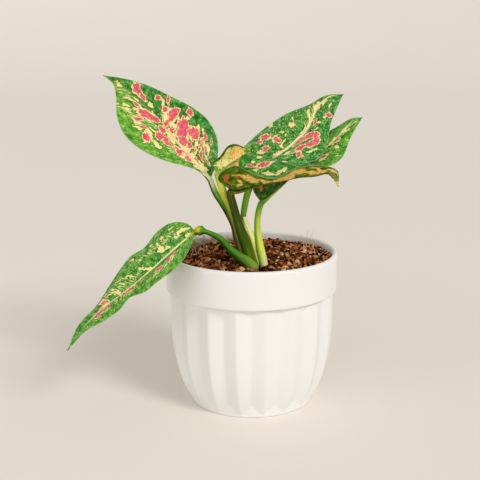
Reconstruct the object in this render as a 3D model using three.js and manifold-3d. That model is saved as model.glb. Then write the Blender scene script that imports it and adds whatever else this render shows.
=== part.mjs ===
// A young Chinese evergreen (aglaonema) with six leaves, planted in a small pot with a plain band and pleated sides.
// Millimetres, +Z up. The origin is the centre of the pot's flat underside. -Y is the front, +X is to its right.

import * as THREE from 'three';
import { mergeVertices } from 'three/addons/utils/BufferGeometryUtils.js';
import Module from 'manifold-3d';

const wasm = await Module();
wasm.setup();

const GAP = 0.3;                 // left between pieces that meet
const WELD = 1e-4;               // vertices closer than this are one
const SLIVER = 0.02;             // edges shorter than this are closed up after a cut

// ---------------------------------------------------------------- the pot
const POT_HEIGHT = 107;
const BAND_RADIUS = 60;          // outside of the plain band
const BAND_HEIGHT = 26;
const BAND_TAPER = 0.2;          // how much narrower the band is at its lower edge
const BAND_CHAMFER = 0.8;
const LIP_RADIUS = 1.8;          // the rim is fully rounded, so the wall there is twice this
const BODY_RADIUS = 57.5;        // ridges of the pleats, just under the band
const FOOT_RADIUS = 44;
const FOOT_HEIGHT = 1.6;         // plain ring that the pot stands on
const FOOT_EASE = 0.8;           // its lower edge is eased by this much
const BODY_POWER = 3.8;          // how late the side turns in towards the foot
const PLEATS = 18;
const PLEAT_DEPTH = 2.8;
const PLEAT_COLUMNS = 4;         // faces around one pleat
const RUN_OUT_HEIGHT = 10;       // below this a small shelf closes each pleat at the foot
const RUN_OUT_SLOPE = 0.2;       // the shelf leans out by this much per mm
const WALL_UNDER_BAND = 6;       // from the ridges to the inside
const INNER_STEP_HEIGHT = 80;    // below this the inside follows the pleated side
const INNER_STEP_RISE = 8;       // and it widens over this height, behind the band
const FLOOR_THICKNESS = 5;
const FLOOR_FILLET = 4;          // between the floor and the inside

const SIDE_TOP = POT_HEIGHT - BAND_HEIGHT;
const INNER_RADIUS = BAND_RADIUS - 2 * LIP_RADIUS;

// ---------------------------------------------------------------- the soil
const SOIL_HEIGHT = 100.4;       // at the wall, on the X = 0 line
const SOIL_MOUND = 1.6;          // how much higher the middle is
const SOIL_TILT = 0.03;          // it was pushed up to the right
const SOIL_CRUMB = 1.1;          // height of the crumbs
const SOIL_CELLS = 26;           // crumbs across the pot's width
const SOIL_SCATTER = 1.3;        // how far a crumb lies from its place in the grid
const SOIL_COLUMNS = 54;
const SOIL_SEED = 7;

// ---------------------------------------------------------------- the plant
const STEM_PLACE = [2, -21.5];    // it was planted a little in front of the middle
const STEM_FOOT = 62;            // height of the short stem's buried end
const STEM_TOP = 100.5;
const STEM_RADIUS = 9;
const STEM_FOOT_RADIUS = 6.3;
const STEM_SIDES = 14;
const STALK_BASE = 100.8;        // the stalks stand on the stem at this height, just under the soil's surface
const STALK_SIDES = 10;
const STALK_STEPS = 15;
const STALK_SINK = 4;            // a stalk is drawn this much too long, then cut level
const BLADE_THICKNESS = 0.8;
const BLADE_ROWS = 20;
const HALF_COLUMNS = 4;          // faces from the midrib to a margin
const BLADE_ARCH = 0.07;         // each half bulges upwards by this share of its width
const RIB_STEPS = 9;
const RIB_END = 0.9;             // the midrib stands out under the blade up to this share of its length
const RIB_START_SHARE = 0.75;    // its radius as a share of the stalk's, where the blade begins
const RIB_TIP_RADIUS = 0.45;
const RIB_DEPTH = 0.9;           // its centre lies this share of its radius under the blade

// Each leaf has a stalk and a blade. The stalk's route runs from the stem to the blade, and each point ends in the
// stalk's radius there. The blade hangs on three rails: its midrib, and its left and right margins as seen from the
// stalk with the upper side up. The margins share the midrib's two ends. `clears` names the stalks that it is cut back
// from where they crowd together on the stem.
const LEAVES = {
  leaf_lower_left: {
    stalk: [
      [0.8, -29.5, 101, 4.7], [-4, -31, 106.8, 4], [-9, -32, 110.8, 3.3], [-14.2, -33, 115.5, 2.6],
      [-21, -34.3, 123.5, 2.1], [-29.5, -35.5, 128, 1.7], [-33.5, -36, 129, 2.6],
      [-36.5, -36, 128.5, 2.2],
    ],
    midrib: [
      [-36.5, -36, 128.5], [-45, -40, 122.5], [-54.5, -46, 115], [-64, -50, 107], [-74, -54, 99],
      [-84, -57, 91.5], [-95, -59, 83.5], [-107, -61, 72], [-119.5, -62, 55],
    ],
    left: [
      [-39, -45, 122], [-43, -56, 115.5], [-50, -62, 109], [-59, -65, 103], [-67.5, -67, 96.5],
      [-77.5, -65, 92], [-84, -69, 85], [-94, -68, 77.5], [-107, -64, 69],
    ],
    right: [
      [-43.5, -31, 133], [-54, -29, 132.5], [-63.5, -30, 126], [-71, -34, 117], [-80, -36, 111.5],
      [-87.5, -41, 102.5], [-94, -46, 93], [-101.5, -52, 82], [-112, -58, 71.5],
    ],
    clears: [],
  },
  leaf_back_right: {
    stalk: [
      [8.5, -22, 100, 3.1], [7, -21.5, 108, 3], [5.5, -21, 114.5, 2.9], [4, -19, 126, 2.3],
      [4, -17, 133, 2.1], [5, -14, 138.5, 2.1], [6.5, -10, 142.5, 2.1],
    ],
    midrib: [
      [6.5, -10, 142.5], [10, -7, 145.5], [17, -1, 150], [26.5, 6, 157], [37, 13, 163.5],
      [47.5, 20, 171.5], [57.5, 26, 179.5], [67.5, 32, 188], [79.5, 38, 195.5],
    ],
    left: [
      [8, 0, 152.5], [17.5, 11, 162.5], [30, 19, 172], [42, 26, 179.5], [52.5, 31, 185],
      [62, 35, 189.5], [71.5, 38, 194.5],
    ],
    right: [
      [1, -19, 154.5], [6, -22, 161.5], [19, -16, 161.5], [35, -7, 162], [50, 2, 164.5],
      [62.5, 12, 169.5], [70.5, 25, 183.5],
    ],
    clears: ['leaf_lower_left'],
  },
  leaf_front_right: {
    stalk: [
      [0.3, -23.5, 101.5, 4.3], [-2.6, -25, 113.5, 3.9], [-4.9, -26, 120.5, 3.7],
      [-8, -27.3, 129.5, 3.2], [-10.4, -28, 138, 2.8], [-12.4, -29, 146, 2.6], [-13.8, -29.5, 151.5, 2.6],
      [-13.2, -30, 154.5, 2.6],
    ],
    midrib: [
      [-13.2, -30, 154.5], [-7.5, -32, 156], [1, -36, 159], [10.5, -41, 162], [20.5, -46, 164.5],
      [30.5, -51, 167.5], [39.5, -56, 169], [48, -60, 171], [54, -62, 163],
    ],
    left: [
      [-9, -24, 168], [-6.5, -19, 176.5], [4, -21, 176.5], [16, -27, 175], [27.5, -34, 174],
      [38, -43, 174.5], [48, -52, 173],
    ],
    right: [
      [-21.8, -36.5, 163.8], [-10.5, -49, 174], [2, -58, 170], [14, -64, 168.5], [25.5, -67, 174.5],
      [37.5, -69, 177.5], [52, -68, 174.5],
    ],
    clears: ['leaf_lower_left', 'leaf_back_right'],
  },
  leaf_upper_right: {
    stalk: [
      [1, -14.5, 101, 3.1], [-2.2, -14, 110.5, 3], [-4.2, -13.5, 119, 2.6], [-6.2, -13, 126, 2.2],
      [-5.8, -12.6, 132.5, 2], [-4.5, -11.5, 141.5, 2.2], [-1.5, -9, 152.5, 2.3], [4.5, -7, 161, 2.2],
      [12.5, -6, 170.5, 2],
    ],
    midrib: [
      [12.5, -6, 170.5], [18.5, 0, 174], [25.5, 8, 177.5], [32.5, 16, 182.5], [39, 24, 187],
      [44, 32, 193], [49, 40, 201], [56, 47, 207], [67, 54, 210.5],
    ],
    left: [
      [-1, 9, 169.5], [-5.5, 16, 176], [0, 25, 181], [11.5, 35, 189.5], [26.5, 43, 198],
      [41.5, 47, 203.5], [54, 50, 210],
    ],
    right: [
      [24.5, -11, 171], [34.5, -9, 169.5], [45, -1, 171], [51, 9, 176.5], [54, 19, 184.5],
      [56.5, 29, 193], [61.5, 41, 202],
    ],
    clears: ['leaf_lower_left', 'leaf_back_right', 'leaf_front_right'],
  },
  leaf_upper_left: {
    stalk: [
      [-4.5, -16.5, 104.5, 3.2], [-9.8, -15.7, 120, 2.8], [-12, -17, 128.5, 2.4], [-16, -19, 137.5, 2.2],
      [-20, -20, 144.5, 2.1], [-24, -20, 151, 2.1], [-27.5, -20, 160, 2],
    ],
    midrib: [
      [-27.5, -20, 160], [-35, -18, 168.5], [-43, -14, 177], [-52.5, -9, 187], [-62, -3, 197.5],
      [-72, 2, 207.5], [-81.5, 7, 215], [-90.5, 11, 221], [-101.7, 14, 226.6],
    ],
    left: [
      [-38, -21, 167.5], [-56.5, -22, 173], [-72.5, -22, 180.5], [-84, -18, 190], [-89.5, -11, 201.5],
      [-91, -2, 211.5], [-94, 8, 221],
    ],
    right: [
      [-23, -15, 172.5], [-23, -8, 185], [-28.5, -2, 196.5], [-39, 4, 205], [-54.5, 8, 212.5],
      [-71, 11, 220], [-87.5, 13, 224.5],
    ],
    clears: ['leaf_lower_left', 'leaf_front_right', 'leaf_upper_right'],
  },
  leaf_young_centre: {
    stalk: [
      [2.6, -19.3, 104, 2.5], [-6, -20.5, 117.5, 2.5], [-9, -21.5, 127, 2.4], [-12, -23, 135.5, 2.4],
      [-15, -24.5, 144, 2.6], [-18.5, -25, 152, 2.7], [-21, -24.5, 159.5, 2.4], [-23, -24, 165, 1.9],
    ],
    midrib: [
      [-23, -24, 165], [-19, -20, 167.5], [-15, -15, 170], [-10.5, -10, 172], [-6.5, -5, 173.5],
      [-3, -1, 174.5], [0, 3, 175],
    ],
    left: [
      [-17, -16, 162], [-11, -10, 163], [-6, -4, 165.5], [-2.5, 0, 169], [-0.5, 2, 172],
    ],
    right: [
      [-26, -26, 172], [-21, -21.5, 176], [-16, -17, 182], [-11.5, -11, 182.8], [-6, -4.5, 180.2],
    ],
    clears: ['leaf_lower_left', 'leaf_back_right', 'leaf_front_right', 'leaf_upper_right', 'leaf_upper_left'],
  },
};

// ---------------------------------------------------------------- finishes
function finish(color, roughness) {
  return new THREE.MeshStandardMaterial({ color, roughness, metalness: 0 });
}
const POT_FINISH = finish(0xf1ebe4, 0.6);
const SOIL_FINISH = finish(0x4a2a18, 0.95);
const STEM_FINISH = finish(0x7d8a3c, 0.5);
const LEAF_FINISH = finish(0x3f8a3a, 0.4);

// ---------------------------------------------------------------- closed bodies
// The body of a closed geometry. Seams are welded and the flat triangles that a pole leaves are dropped.
function solid(geometry) {
  const bare = new THREE.BufferGeometry();
  bare.setAttribute('position', geometry.getAttribute('position'));
  bare.setIndex(geometry.index);
  const welded = mergeVertices(bare, WELD);
  const triangles = [];
  for (let i = 0; i < welded.index.count; i += 3) {
    const [a, b, c] = [0, 1, 2].map((k) => welded.index.getX(i + k));
    if (a !== b && b !== c && c !== a) triangles.push(a, b, c);
  }
  return new wasm.Manifold(new wasm.Mesh({
    numProp: 3,
    vertProperties: new Float32Array(welded.getAttribute('position').array),
    triVerts: new Uint32Array(triangles),
  }));
}

// The largest part of a body, without the crumbs that a cut can leave.
function whole(body) {
  const parts = body.simplify(SLIVER).decompose();
  return parts.reduce((best, part) => (part.volume() > best.volume() ? part : best));
}

function piece(name, body, material) {
  const { vertProperties, triVerts } = body.getMesh();
  const geometry = new THREE.BufferGeometry();
  geometry.setAttribute('position', new THREE.BufferAttribute(vertProperties, 3));
  geometry.setIndex(new THREE.BufferAttribute(triVerts, 1));
  geometry.computeVertexNormals();
  const mesh = new THREE.Mesh(geometry, material);
  mesh.name = name;
  return mesh;
}

function vectors(points) {
  return points.map(([x, y, z]) => new THREE.Vector3(x, y, z));
}

// A round body through `centres`, closed by a fan at each end. Its sections are carried along without twisting.
function tube(centres, radii, sides) {
  const positions = [];
  const index = [];
  const across = new THREE.Vector3(1, 0, 0);
  const last = centres.length - 1;
  centres.forEach((centre, i) => {
    const along = centres[Math.min(i + 1, last)].clone().sub(centres[Math.max(i - 1, 0)]).normalize();
    across.addScaledVector(along, -across.dot(along)).normalize();
    const up = along.clone().cross(across);
    for (let k = 0; k < sides; k++) {
      const angle = (2 * Math.PI * k) / sides;
      const point = centre.clone()
        .addScaledVector(across, radii[i] * Math.cos(angle))
        .addScaledVector(up, radii[i] * Math.sin(angle));
      positions.push(...point.toArray());
    }
  });
  for (let i = 0; i < last; i++) {
    for (let k = 0; k < sides; k++) {
      const next = (k + 1) % sides;
      const [a, b, c, d] = [i * sides + k, i * sides + next, (i + 1) * sides + next, (i + 1) * sides + k];
      index.push(a, b, c, a, c, d);
    }
  }
  const foot = positions.length / 3;
  positions.push(...centres[0].toArray(), ...centres[last].toArray());
  for (let k = 0; k < sides; k++) {
    const next = (k + 1) % sides;
    index.push(foot, next, k, foot + 1, last * sides + k, last * sides + next);
  }
  const geometry = new THREE.BufferGeometry();
  geometry.setAttribute('position', new THREE.Float32BufferAttribute(positions, 3));
  geometry.setIndex(index);
  return solid(geometry);
}

// ---------------------------------------------------------------- pot
function share(z) {
  return THREE.MathUtils.clamp((SIDE_TOP - z) / (SIDE_TOP - FOOT_HEIGHT), 0, 1);
}

// Radius of the pleats' ridges at a height.
function sideRadius(z) {
  return FOOT_RADIUS + (BODY_RADIUS - FOOT_RADIUS) * (1 - share(z) ** BODY_POWER);
}

function innerRadius(z) {
  if (z <= INNER_STEP_HEIGHT) return sideRadius(z) - WALL_UNDER_BAND;
  const t = Math.min((z - INNER_STEP_HEIGHT) / INNER_STEP_RISE, 1);
  return THREE.MathUtils.lerp(sideRadius(INNER_STEP_HEIGHT) - WALL_UNDER_BAND, INNER_RADIUS - 0.6, t);
}

// How deep the pleats are at a place around the pot: 0 on a ridge, 1 in a valley. A valley faces the front.
function pleat(turn) {
  const phase = (turn * PLEATS + 0.5) % 1;
  return 1 - Math.abs(2 * phase - 1);
}

const INSIDE_HEIGHTS = [INNER_STEP_HEIGHT + INNER_STEP_RISE, INNER_STEP_HEIGHT, 60, 44, 30, 20, 12, 8];

function makePot() {
  const side = [2, 4.5, 7, 9.5, 13, 18, 25, 34, 46, 60].map((z) => [sideRadius(z), z]);
  const lip = [0, 1, 2, 3, 4, 5, 6].map((k) => {
    const angle = (Math.PI * k) / 6;
    return [BAND_RADIUS - LIP_RADIUS + LIP_RADIUS * Math.cos(angle), POT_HEIGHT - LIP_RADIUS + LIP_RADIUS * Math.sin(angle)];
  });
  const inside = INSIDE_HEIGHTS.map((z) => [innerRadius(z), z]);
  const profile = [
    [0, 0], [FOOT_RADIUS - FOOT_EASE, 0], [FOOT_RADIUS, FOOT_EASE], ...side,
    [BODY_RADIUS, SIDE_TOP], [BAND_RADIUS - BAND_TAPER - BAND_CHAMFER, SIDE_TOP],
    [BAND_RADIUS - BAND_TAPER, SIDE_TOP + BAND_CHAMFER],
    ...lip, ...inside, [innerRadius(FLOOR_THICKNESS) - FLOOR_FILLET, FLOOR_THICKNESS], [0, FLOOR_THICKNESS],
  ];
  const geometry = new THREE.LatheGeometry(profile.map(([r, z]) => new THREE.Vector2(r, z)), PLEATS * PLEAT_COLUMNS);
  geometry.rotateX(Math.PI / 2);
  const position = geometry.getAttribute('position');
  for (let i = 0; i < position.count; i++) {
    const [x, y, z] = [position.getX(i), position.getY(i), position.getZ(i)];
    const radius = Math.hypot(x, y);
    const onSide = z > FOOT_HEIGHT && z <= SIDE_TOP && Math.abs(radius - sideRadius(z)) < 0.01;
    if (!onSide) continue;
    const turn = (Math.atan2(x, -y) / (2 * Math.PI) + 1) % 1;
    const shelf = z < RUN_OUT_HEIGHT ? FOOT_RADIUS + RUN_OUT_SLOPE * (z - FOOT_HEIGHT) : 0;
    const pleated = Math.max(radius - PLEAT_DEPTH * pleat(turn), Math.min(shelf, radius));
    position.setXY(i, (x * pleated) / radius, (y * pleated) / radius);
  }
  return solid(geometry);
}

// ---------------------------------------------------------------- soil
function seeded(seed) {
  let state = seed;
  return () => {
    state = (state * 1664525 + 1013904223) % 4294967296;
    return state / 4294967296;
  };
}

function soilHeight(x, y) {
  const reach = Math.hypot(x, y) / INNER_RADIUS;
  return SOIL_HEIGHT + SOIL_TILT * x + SOIL_MOUND * (1 - reach * reach);
}

// A block with a bed of crumbs on top, wider than the pot.
function makeCrumbs() {
  const random = seeded(SOIL_SEED);
  const scatter = () => SOIL_SCATTER * (2 * random() - 1);
  const size = 2 * BAND_RADIUS;
  const block = new THREE.BoxGeometry(size, size, 2 * SOIL_HEIGHT, SOIL_CELLS, SOIL_CELLS, 1);
  const welded = mergeVertices(block.deleteAttribute('normal').deleteAttribute('uv'), WELD);
  const position = welded.getAttribute('position');
  for (let i = 0; i < position.count; i++) {
    if (position.getZ(i) < 0) continue;
    const x = position.getX(i) + scatter();
    const y = position.getY(i) + scatter();
    position.setXYZ(i, x, y, soilHeight(x, y) + SOIL_CRUMB * (2 * random() - 1));
  }
  return solid(welded);
}

// The fill follows the inside of the pot.
function makeSoil() {
  const floor = FLOOR_THICKNESS + GAP;
  const profile = [[0, floor], [innerRadius(FLOOR_THICKNESS) - FLOOR_FILLET - GAP, floor]];
  for (const z of [POT_HEIGHT, ...INSIDE_HEIGHTS].reverse()) profile.push([innerRadius(z) - GAP, z]);
  profile.push([0, POT_HEIGHT]);
  const geometry = new THREE.LatheGeometry(profile.map(([r, z]) => new THREE.Vector2(r, z)), SOIL_COLUMNS);
  geometry.rotateX(Math.PI / 2);
  return solid(geometry).intersect(makeCrumbs());
}

// ---------------------------------------------------------------- leaves
// The blade's rails as curves, all read with the same share t of the way from base to tip.
function rails({ midrib, left, right }) {
  const ends = [midrib[0], midrib[midrib.length - 1]];
  const margin = (points) => new THREE.CatmullRomCurve3(vectors([ends[0], ...points, ends[1]]));
  return { midrib: new THREE.CatmullRomCurve3(vectors(midrib)), left: margin(left), right: margin(right) };
}

function upward(curves, t) {
  const inset = THREE.MathUtils.clamp(t, 0.03, 0.97);
  const across = curves.right.getPoint(inset).sub(curves.left.getPoint(inset));
  return across.cross(curves.midrib.getTangent(inset)).normalize();
}

// A thin closed skin over the rails. Both faces are split into triangles alike.
function makeBlade(curves) {
  const columns = 2 * HALF_COLUMNS + 1;
  const points = [curves.midrib.getPoint(0)];
  for (let row = 1; row < BLADE_ROWS; row++) {
    const t = row / BLADE_ROWS;
    const middle = curves.midrib.getPoint(t);
    const up = upward(curves, t);
    for (let column = 0; column < columns; column++) {
      const side = column / HALF_COLUMNS - 1;
      const margin = (side < 0 ? curves.left : curves.right).getPoint(t);
      const arch = BLADE_ARCH * margin.distanceTo(middle) * Math.sin(Math.PI * Math.abs(side));
      points.push(middle.clone().lerp(margin, Math.abs(side)).addScaledVector(up, arch));
    }
  }
  points.push(curves.midrib.getPoint(1));

  const tip = points.length - 1;
  const at = (row, column) => (row === 0 ? 0 : row === BLADE_ROWS ? tip : 1 + (row - 1) * columns + column);
  const face = [];
  for (let row = 0; row < BLADE_ROWS; row++) {
    for (let column = 0; column < columns - 1; column++) {
      const [a, b, c, d] = [at(row, column), at(row, column + 1), at(row + 1, column + 1), at(row + 1, column)];
      if (a !== b) face.push(a, b, c);
      if (c !== d) face.push(a, c, d);
    }
  }
  const sheet = new THREE.BufferGeometry().setFromPoints(points);
  sheet.setIndex(face);
  sheet.computeVertexNormals();
  const normals = sheet.getAttribute('normal');

  const positions = [];
  for (const side of [1, -1]) {
    points.forEach((point, i) => {
      const normal = new THREE.Vector3().fromBufferAttribute(normals, i);
      positions.push(...point.clone().addScaledVector(normal, (side * BLADE_THICKNESS) / 2).toArray());
    });
  }
  const count = points.length;
  const index = [...face];
  for (let i = 0; i < face.length; i += 3) index.push(face[i] + count, face[i + 2] + count, face[i + 1] + count);
  const edge = [0];
  for (let row = 1; row < BLADE_ROWS; row++) edge.push(at(row, columns - 1));
  edge.push(tip);
  for (let row = BLADE_ROWS - 1; row > 0; row--) edge.push(at(row, 0));
  edge.forEach((a, i) => {
    const b = edge[(i + 1) % edge.length];
    index.push(b, a, a + count, b, a + count, b + count);
  });
  const geometry = new THREE.BufferGeometry();
  geometry.setAttribute('position', new THREE.Float32BufferAttribute(positions, 3));
  geometry.setIndex(index);
  return solid(geometry);
}

// The stalk runs on as the midrib that stands out under the blade.
function makeStalk({ stalk }, curves, extra = 0) {
  const route = new THREE.CatmullRomCurve3(vectors(stalk));
  const girth = new THREE.SplineCurve(stalk.map((point, i) => new THREE.Vector2(i, point[3])));
  const centres = [route.getPoint(0).add(new THREE.Vector3(0, 0, -STALK_SINK))];
  const radii = [stalk[0][3]];
  for (let i = 0; i < STALK_STEPS; i++) {
    const t = i / STALK_STEPS;
    centres.push(route.getPoint(t));
    radii.push(girth.getPoint(t).y);
  }
  const ribRadius = RIB_START_SHARE * stalk[stalk.length - 1][3];
  for (let i = 0; i <= RIB_STEPS; i++) {
    const t = (RIB_END * i) / RIB_STEPS;
    const radius = THREE.MathUtils.lerp(ribRadius, RIB_TIP_RADIUS, i / RIB_STEPS);
    centres.push(curves.midrib.getPoint(t).addScaledVector(upward(curves, t), -RIB_DEPTH * radius));
    radii.push(radius);
  }
  return tube(centres, radii.map((radius) => radius + extra), STALK_SIDES);
}

// A block around the end of a stalk, up to the level where it stands on the stem.
function underStalk({ stalk }) {
  const size = 40;
  const [x, y] = stalk[0];
  return solid(new THREE.BoxGeometry(size, size, size).translate(x, y, STALK_BASE - size / 2));
}

// The stem, or with `extra` the hole that it stands in, which is open at the top.
function makeStem(extra = 0) {
  const heights = [STEM_FOOT - extra, STEM_TOP];
  const radii = [STEM_FOOT_RADIUS + extra, STEM_RADIUS + extra];
  if (extra > 0) {
    heights.push(STEM_TOP + STALK_SINK);
    radii.push(STEM_RADIUS + extra);
  }
  return tube(vectors(heights.map((z) => [...STEM_PLACE, z])), radii, STEM_SIDES);
}

// ---------------------------------------------------------------- assembly
const plant = new THREE.Group();
plant.add(piece('pot', makePot(), POT_FINISH));

let soil = makeSoil().subtract(makeStem(GAP));
const curves = {};
const roomFor = {};
for (const [name, leaf] of Object.entries(LEAVES)) {
  curves[name] = rails(leaf);
  roomFor[name] = makeStalk(leaf, curves[name], GAP);
}
for (const [name, leaf] of Object.entries(LEAVES)) {
  let body = makeStalk(leaf, curves[name]).subtract(underStalk(leaf)).add(makeBlade(curves[name]));
  for (const other of leaf.clears) body = body.subtract(roomFor[other]);
  plant.add(piece(name, whole(body), LEAF_FINISH));
  soil = soil.subtract(roomFor[name]);
}
plant.add(piece('stem', makeStem(), STEM_FINISH));
plant.add(piece('soil', whole(soil), SOIL_FINISH));

export default plant;
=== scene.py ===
# The looks of a potted Chinese evergreen: six patterned leaves on their stalks, crumbly soil and a pleated pot.
# Lengths are metres. Numbers that read better in millimetres are multiplied by MM.

import math
import random

import bmesh
import bpy
from mathutils import Matrix, Vector, noise


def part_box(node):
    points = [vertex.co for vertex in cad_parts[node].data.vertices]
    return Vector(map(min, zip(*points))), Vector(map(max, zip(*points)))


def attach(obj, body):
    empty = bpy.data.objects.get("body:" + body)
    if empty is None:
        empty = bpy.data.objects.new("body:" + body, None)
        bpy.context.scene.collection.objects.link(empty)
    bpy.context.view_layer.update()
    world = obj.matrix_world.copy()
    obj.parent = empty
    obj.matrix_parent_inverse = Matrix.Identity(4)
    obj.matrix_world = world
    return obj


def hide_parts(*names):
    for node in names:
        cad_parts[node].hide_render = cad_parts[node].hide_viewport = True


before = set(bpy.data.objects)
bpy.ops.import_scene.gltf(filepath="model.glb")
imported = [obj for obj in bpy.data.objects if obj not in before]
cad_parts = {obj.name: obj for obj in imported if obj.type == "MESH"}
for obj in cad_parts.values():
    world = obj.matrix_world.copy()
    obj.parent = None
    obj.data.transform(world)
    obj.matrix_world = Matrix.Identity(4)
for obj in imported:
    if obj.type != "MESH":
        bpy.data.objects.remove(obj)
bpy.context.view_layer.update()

MM = 0.001
UP = Vector((0, 0, 1))

# ---------------------------------------------------------------- camera
PHOTO_SIDE = 480
POT_AXIS_COLUMN = 251.6          # the pot's axis stands a little right of the photo's middle
CAMERA_PLACE = Vector((0, -0.6272, 0.2657))
CAMERA_TILT = math.radians(13.59)
LENS = 69.3
SENSOR = 36

camera = bpy.data.objects.new("camera", bpy.data.cameras.new("camera"))
bpy.context.scene.collection.objects.link(camera)
camera.location = CAMERA_PLACE
camera.rotation_euler = (math.pi / 2 - CAMERA_TILT, 0, 0)
camera.data.lens = LENS
camera.data.sensor_width = SENSOR
camera.data.shift_x = (PHOTO_SIDE / 2 - POT_AXIS_COLUMN) / PHOTO_SIDE
camera.data.clip_start = 0.01
bpy.context.scene.camera = camera


# ---------------------------------------------------------------- shader tools
def paint(red, green, blue):
    """A colour given as 0 to 255 in sRGB, as the shaders want it."""
    linear = [c / 12.92 if c <= 0.04045 else ((c + 0.055) / 1.055) ** 2.4 for c in (red / 255, green / 255, blue / 255)]
    return (*linear, 1)


class Value:
    """A number that a material works out at each point. Sums written with it add their nodes."""

    def __init__(self, finish, socket):
        self.finish = finish
        self.socket = socket

    def __add__(self, other):
        return self.finish.maths("ADD", self, other)

    def __radd__(self, other):
        return self.finish.maths("ADD", other, self)

    def __sub__(self, other):
        return self.finish.maths("SUBTRACT", self, other)

    def __rsub__(self, other):
        return self.finish.maths("SUBTRACT", other, self)

    def __mul__(self, other):
        return self.finish.maths("MULTIPLY", self, other)

    def __rmul__(self, other):
        return self.finish.maths("MULTIPLY", other, self)

    def __truediv__(self, other):
        return self.finish.maths("DIVIDE", self, other)

    def __abs__(self):
        return self.finish.maths("ABSOLUTE", self)


class Finish:
    """A material that starts from a Principled shader."""

    def __init__(self, name, **fixed):
        self.material = bpy.data.materials.new(name)
        self.material.use_nodes = True
        self.tree = self.material.node_tree
        self.shader = self.tree.nodes["Principled BSDF"]
        for socket, value in fixed.items():
            self.shader.inputs[socket.replace("_", " ").title().replace("Ior", "IOR")].default_value = value

    def node(self, kind, settings=None, sockets=None, output=0):
        """Any node: its own settings first, then its sockets, by name or number. Returns one output."""
        node = self.tree.nodes.new("ShaderNode" + kind)
        for key, value in (settings or {}).items():
            if key == "stops":
                self.set_stops(node.color_ramp, value)
            else:
                setattr(node, key, value)
        for key, value in (sockets or {}).items():
            self.put(node.inputs[key], value)
        return Value(self, node.outputs[output])

    @staticmethod
    def set_stops(ramp, stops):
        while len(ramp.elements) < len(stops):
            ramp.elements.new(1)
        for element, (position, colour) in zip(ramp.elements, stops):
            element.position = position
            element.color = colour

    def put(self, socket, value):
        if isinstance(value, Value):
            self.tree.links.new(value.socket, socket)
        else:
            socket.default_value = value

    def maths(self, operation, *values):
        return self.node("Math", {"operation": operation}, dict(enumerate(values)))

    def largest(self, first, second):
        return self.maths("MAXIMUM", first, second)

    def step(self, value, low, high):
        """0 below `low`, 1 above `high`, and smooth between."""
        return self.node("MapRange", {"interpolation_type": "SMOOTHSTEP"}, {0: value, 1: low, 2: high})

    def mix(self, share, first, second):
        return self.node("Mix", {"data_type": "RGBA"}, {0: share, 6: first, 7: second}, output=2)

    def ramp(self, value, *stops):
        return self.node("ValToRGB", {"stops": stops}, {0: value})

    def vector(self, x, y, z):
        return self.node("CombineXYZ", {}, {0: x, 1: y, 2: z})

    def noise(self, place, scale=1.0, detail=2.0, roughness=0.5):
        sockets = {"Vector": place, "Scale": scale, "Detail": detail, "Roughness": roughness}
        return self.node("TexNoise", {}, sockets)

    def cells(self, place, scale, output=0):
        return self.node("TexVoronoi", {}, {"Vector": place, "Scale": scale}, output=output)

    def place(self):
        return self.node("TexCoord", output=3)

    def axes(self, vector):
        split = self.node("SeparateXYZ", {}, {0: vector})
        return [Value(self, socket) for socket in split.socket.node.outputs]

    def uv(self, name):
        return self.axes(self.node("UVMap", {"uv_map": name}))

    def attribute(self, name):
        return self.node("Attribute", {"attribute_name": name}, output=2)

    def vector_attribute(self, name):
        return self.axes(self.node("Attribute", {"attribute_name": name}, output=1))

    def channels(self, name):
        """The red, green, blue and alpha numbers of a colour attribute."""
        colour = self.node("Attribute", {"attribute_name": name})
        alpha = Value(self, colour.socket.node.outputs["Alpha"])
        split = self.node("SeparateColor", {}, {0: colour})
        return [Value(self, socket) for socket in split.socket.node.outputs] + [alpha]

    def bump(self, height, strength, distance):
        return self.node("Bump", {}, {"Height": height, "Strength": strength, "Distance": distance}, output="Normal")

    def finished(self, **sockets):
        for name, value in sockets.items():
            self.put(self.shader.inputs[name.replace("_", " ").title()], value)
        return self.material


# ---------------------------------------------------------------- mesh tools
def as_piece(name, mesh, materials, smooth=True):
    """Makes the object of a finished bmesh, riding on the part's one body."""
    data = bpy.data.meshes.new(name)
    mesh.to_mesh(data)
    mesh.free()
    for material in materials:
        data.materials.append(material)
    data.shade_smooth() if smooth else data.shade_flat()
    piece = bpy.data.objects.new(name, data)
    bpy.context.scene.collection.objects.link(piece)
    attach(piece, "root")
    return piece


def blend(low, high, share):
    return low + (high - low) * share


def smooth_step(value, low, high):
    share = min(max((value - low) / (high - low), 0), 1)
    return share * share * (3 - 2 * share)


def turned(profile, steps):
    """A body turned round the Z axis from its outline of (radius, height) in mm, which starts and ends on the axis."""
    mesh = bmesh.new()
    points = [mesh.verts.new((radius * MM, 0, height * MM)) for radius, height in profile]
    edges = [mesh.edges.new(pair) for pair in zip(points, points[1:])]
    bmesh.ops.spin(mesh, geom=points + edges, axis=UP, angle=2 * math.pi, steps=steps, use_merge=True)
    bmesh.ops.remove_doubles(mesh, verts=mesh.verts, dist=0.001 * MM)
    bmesh.ops.recalc_face_normals(mesh, faces=mesh.faces)
    return mesh


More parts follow.
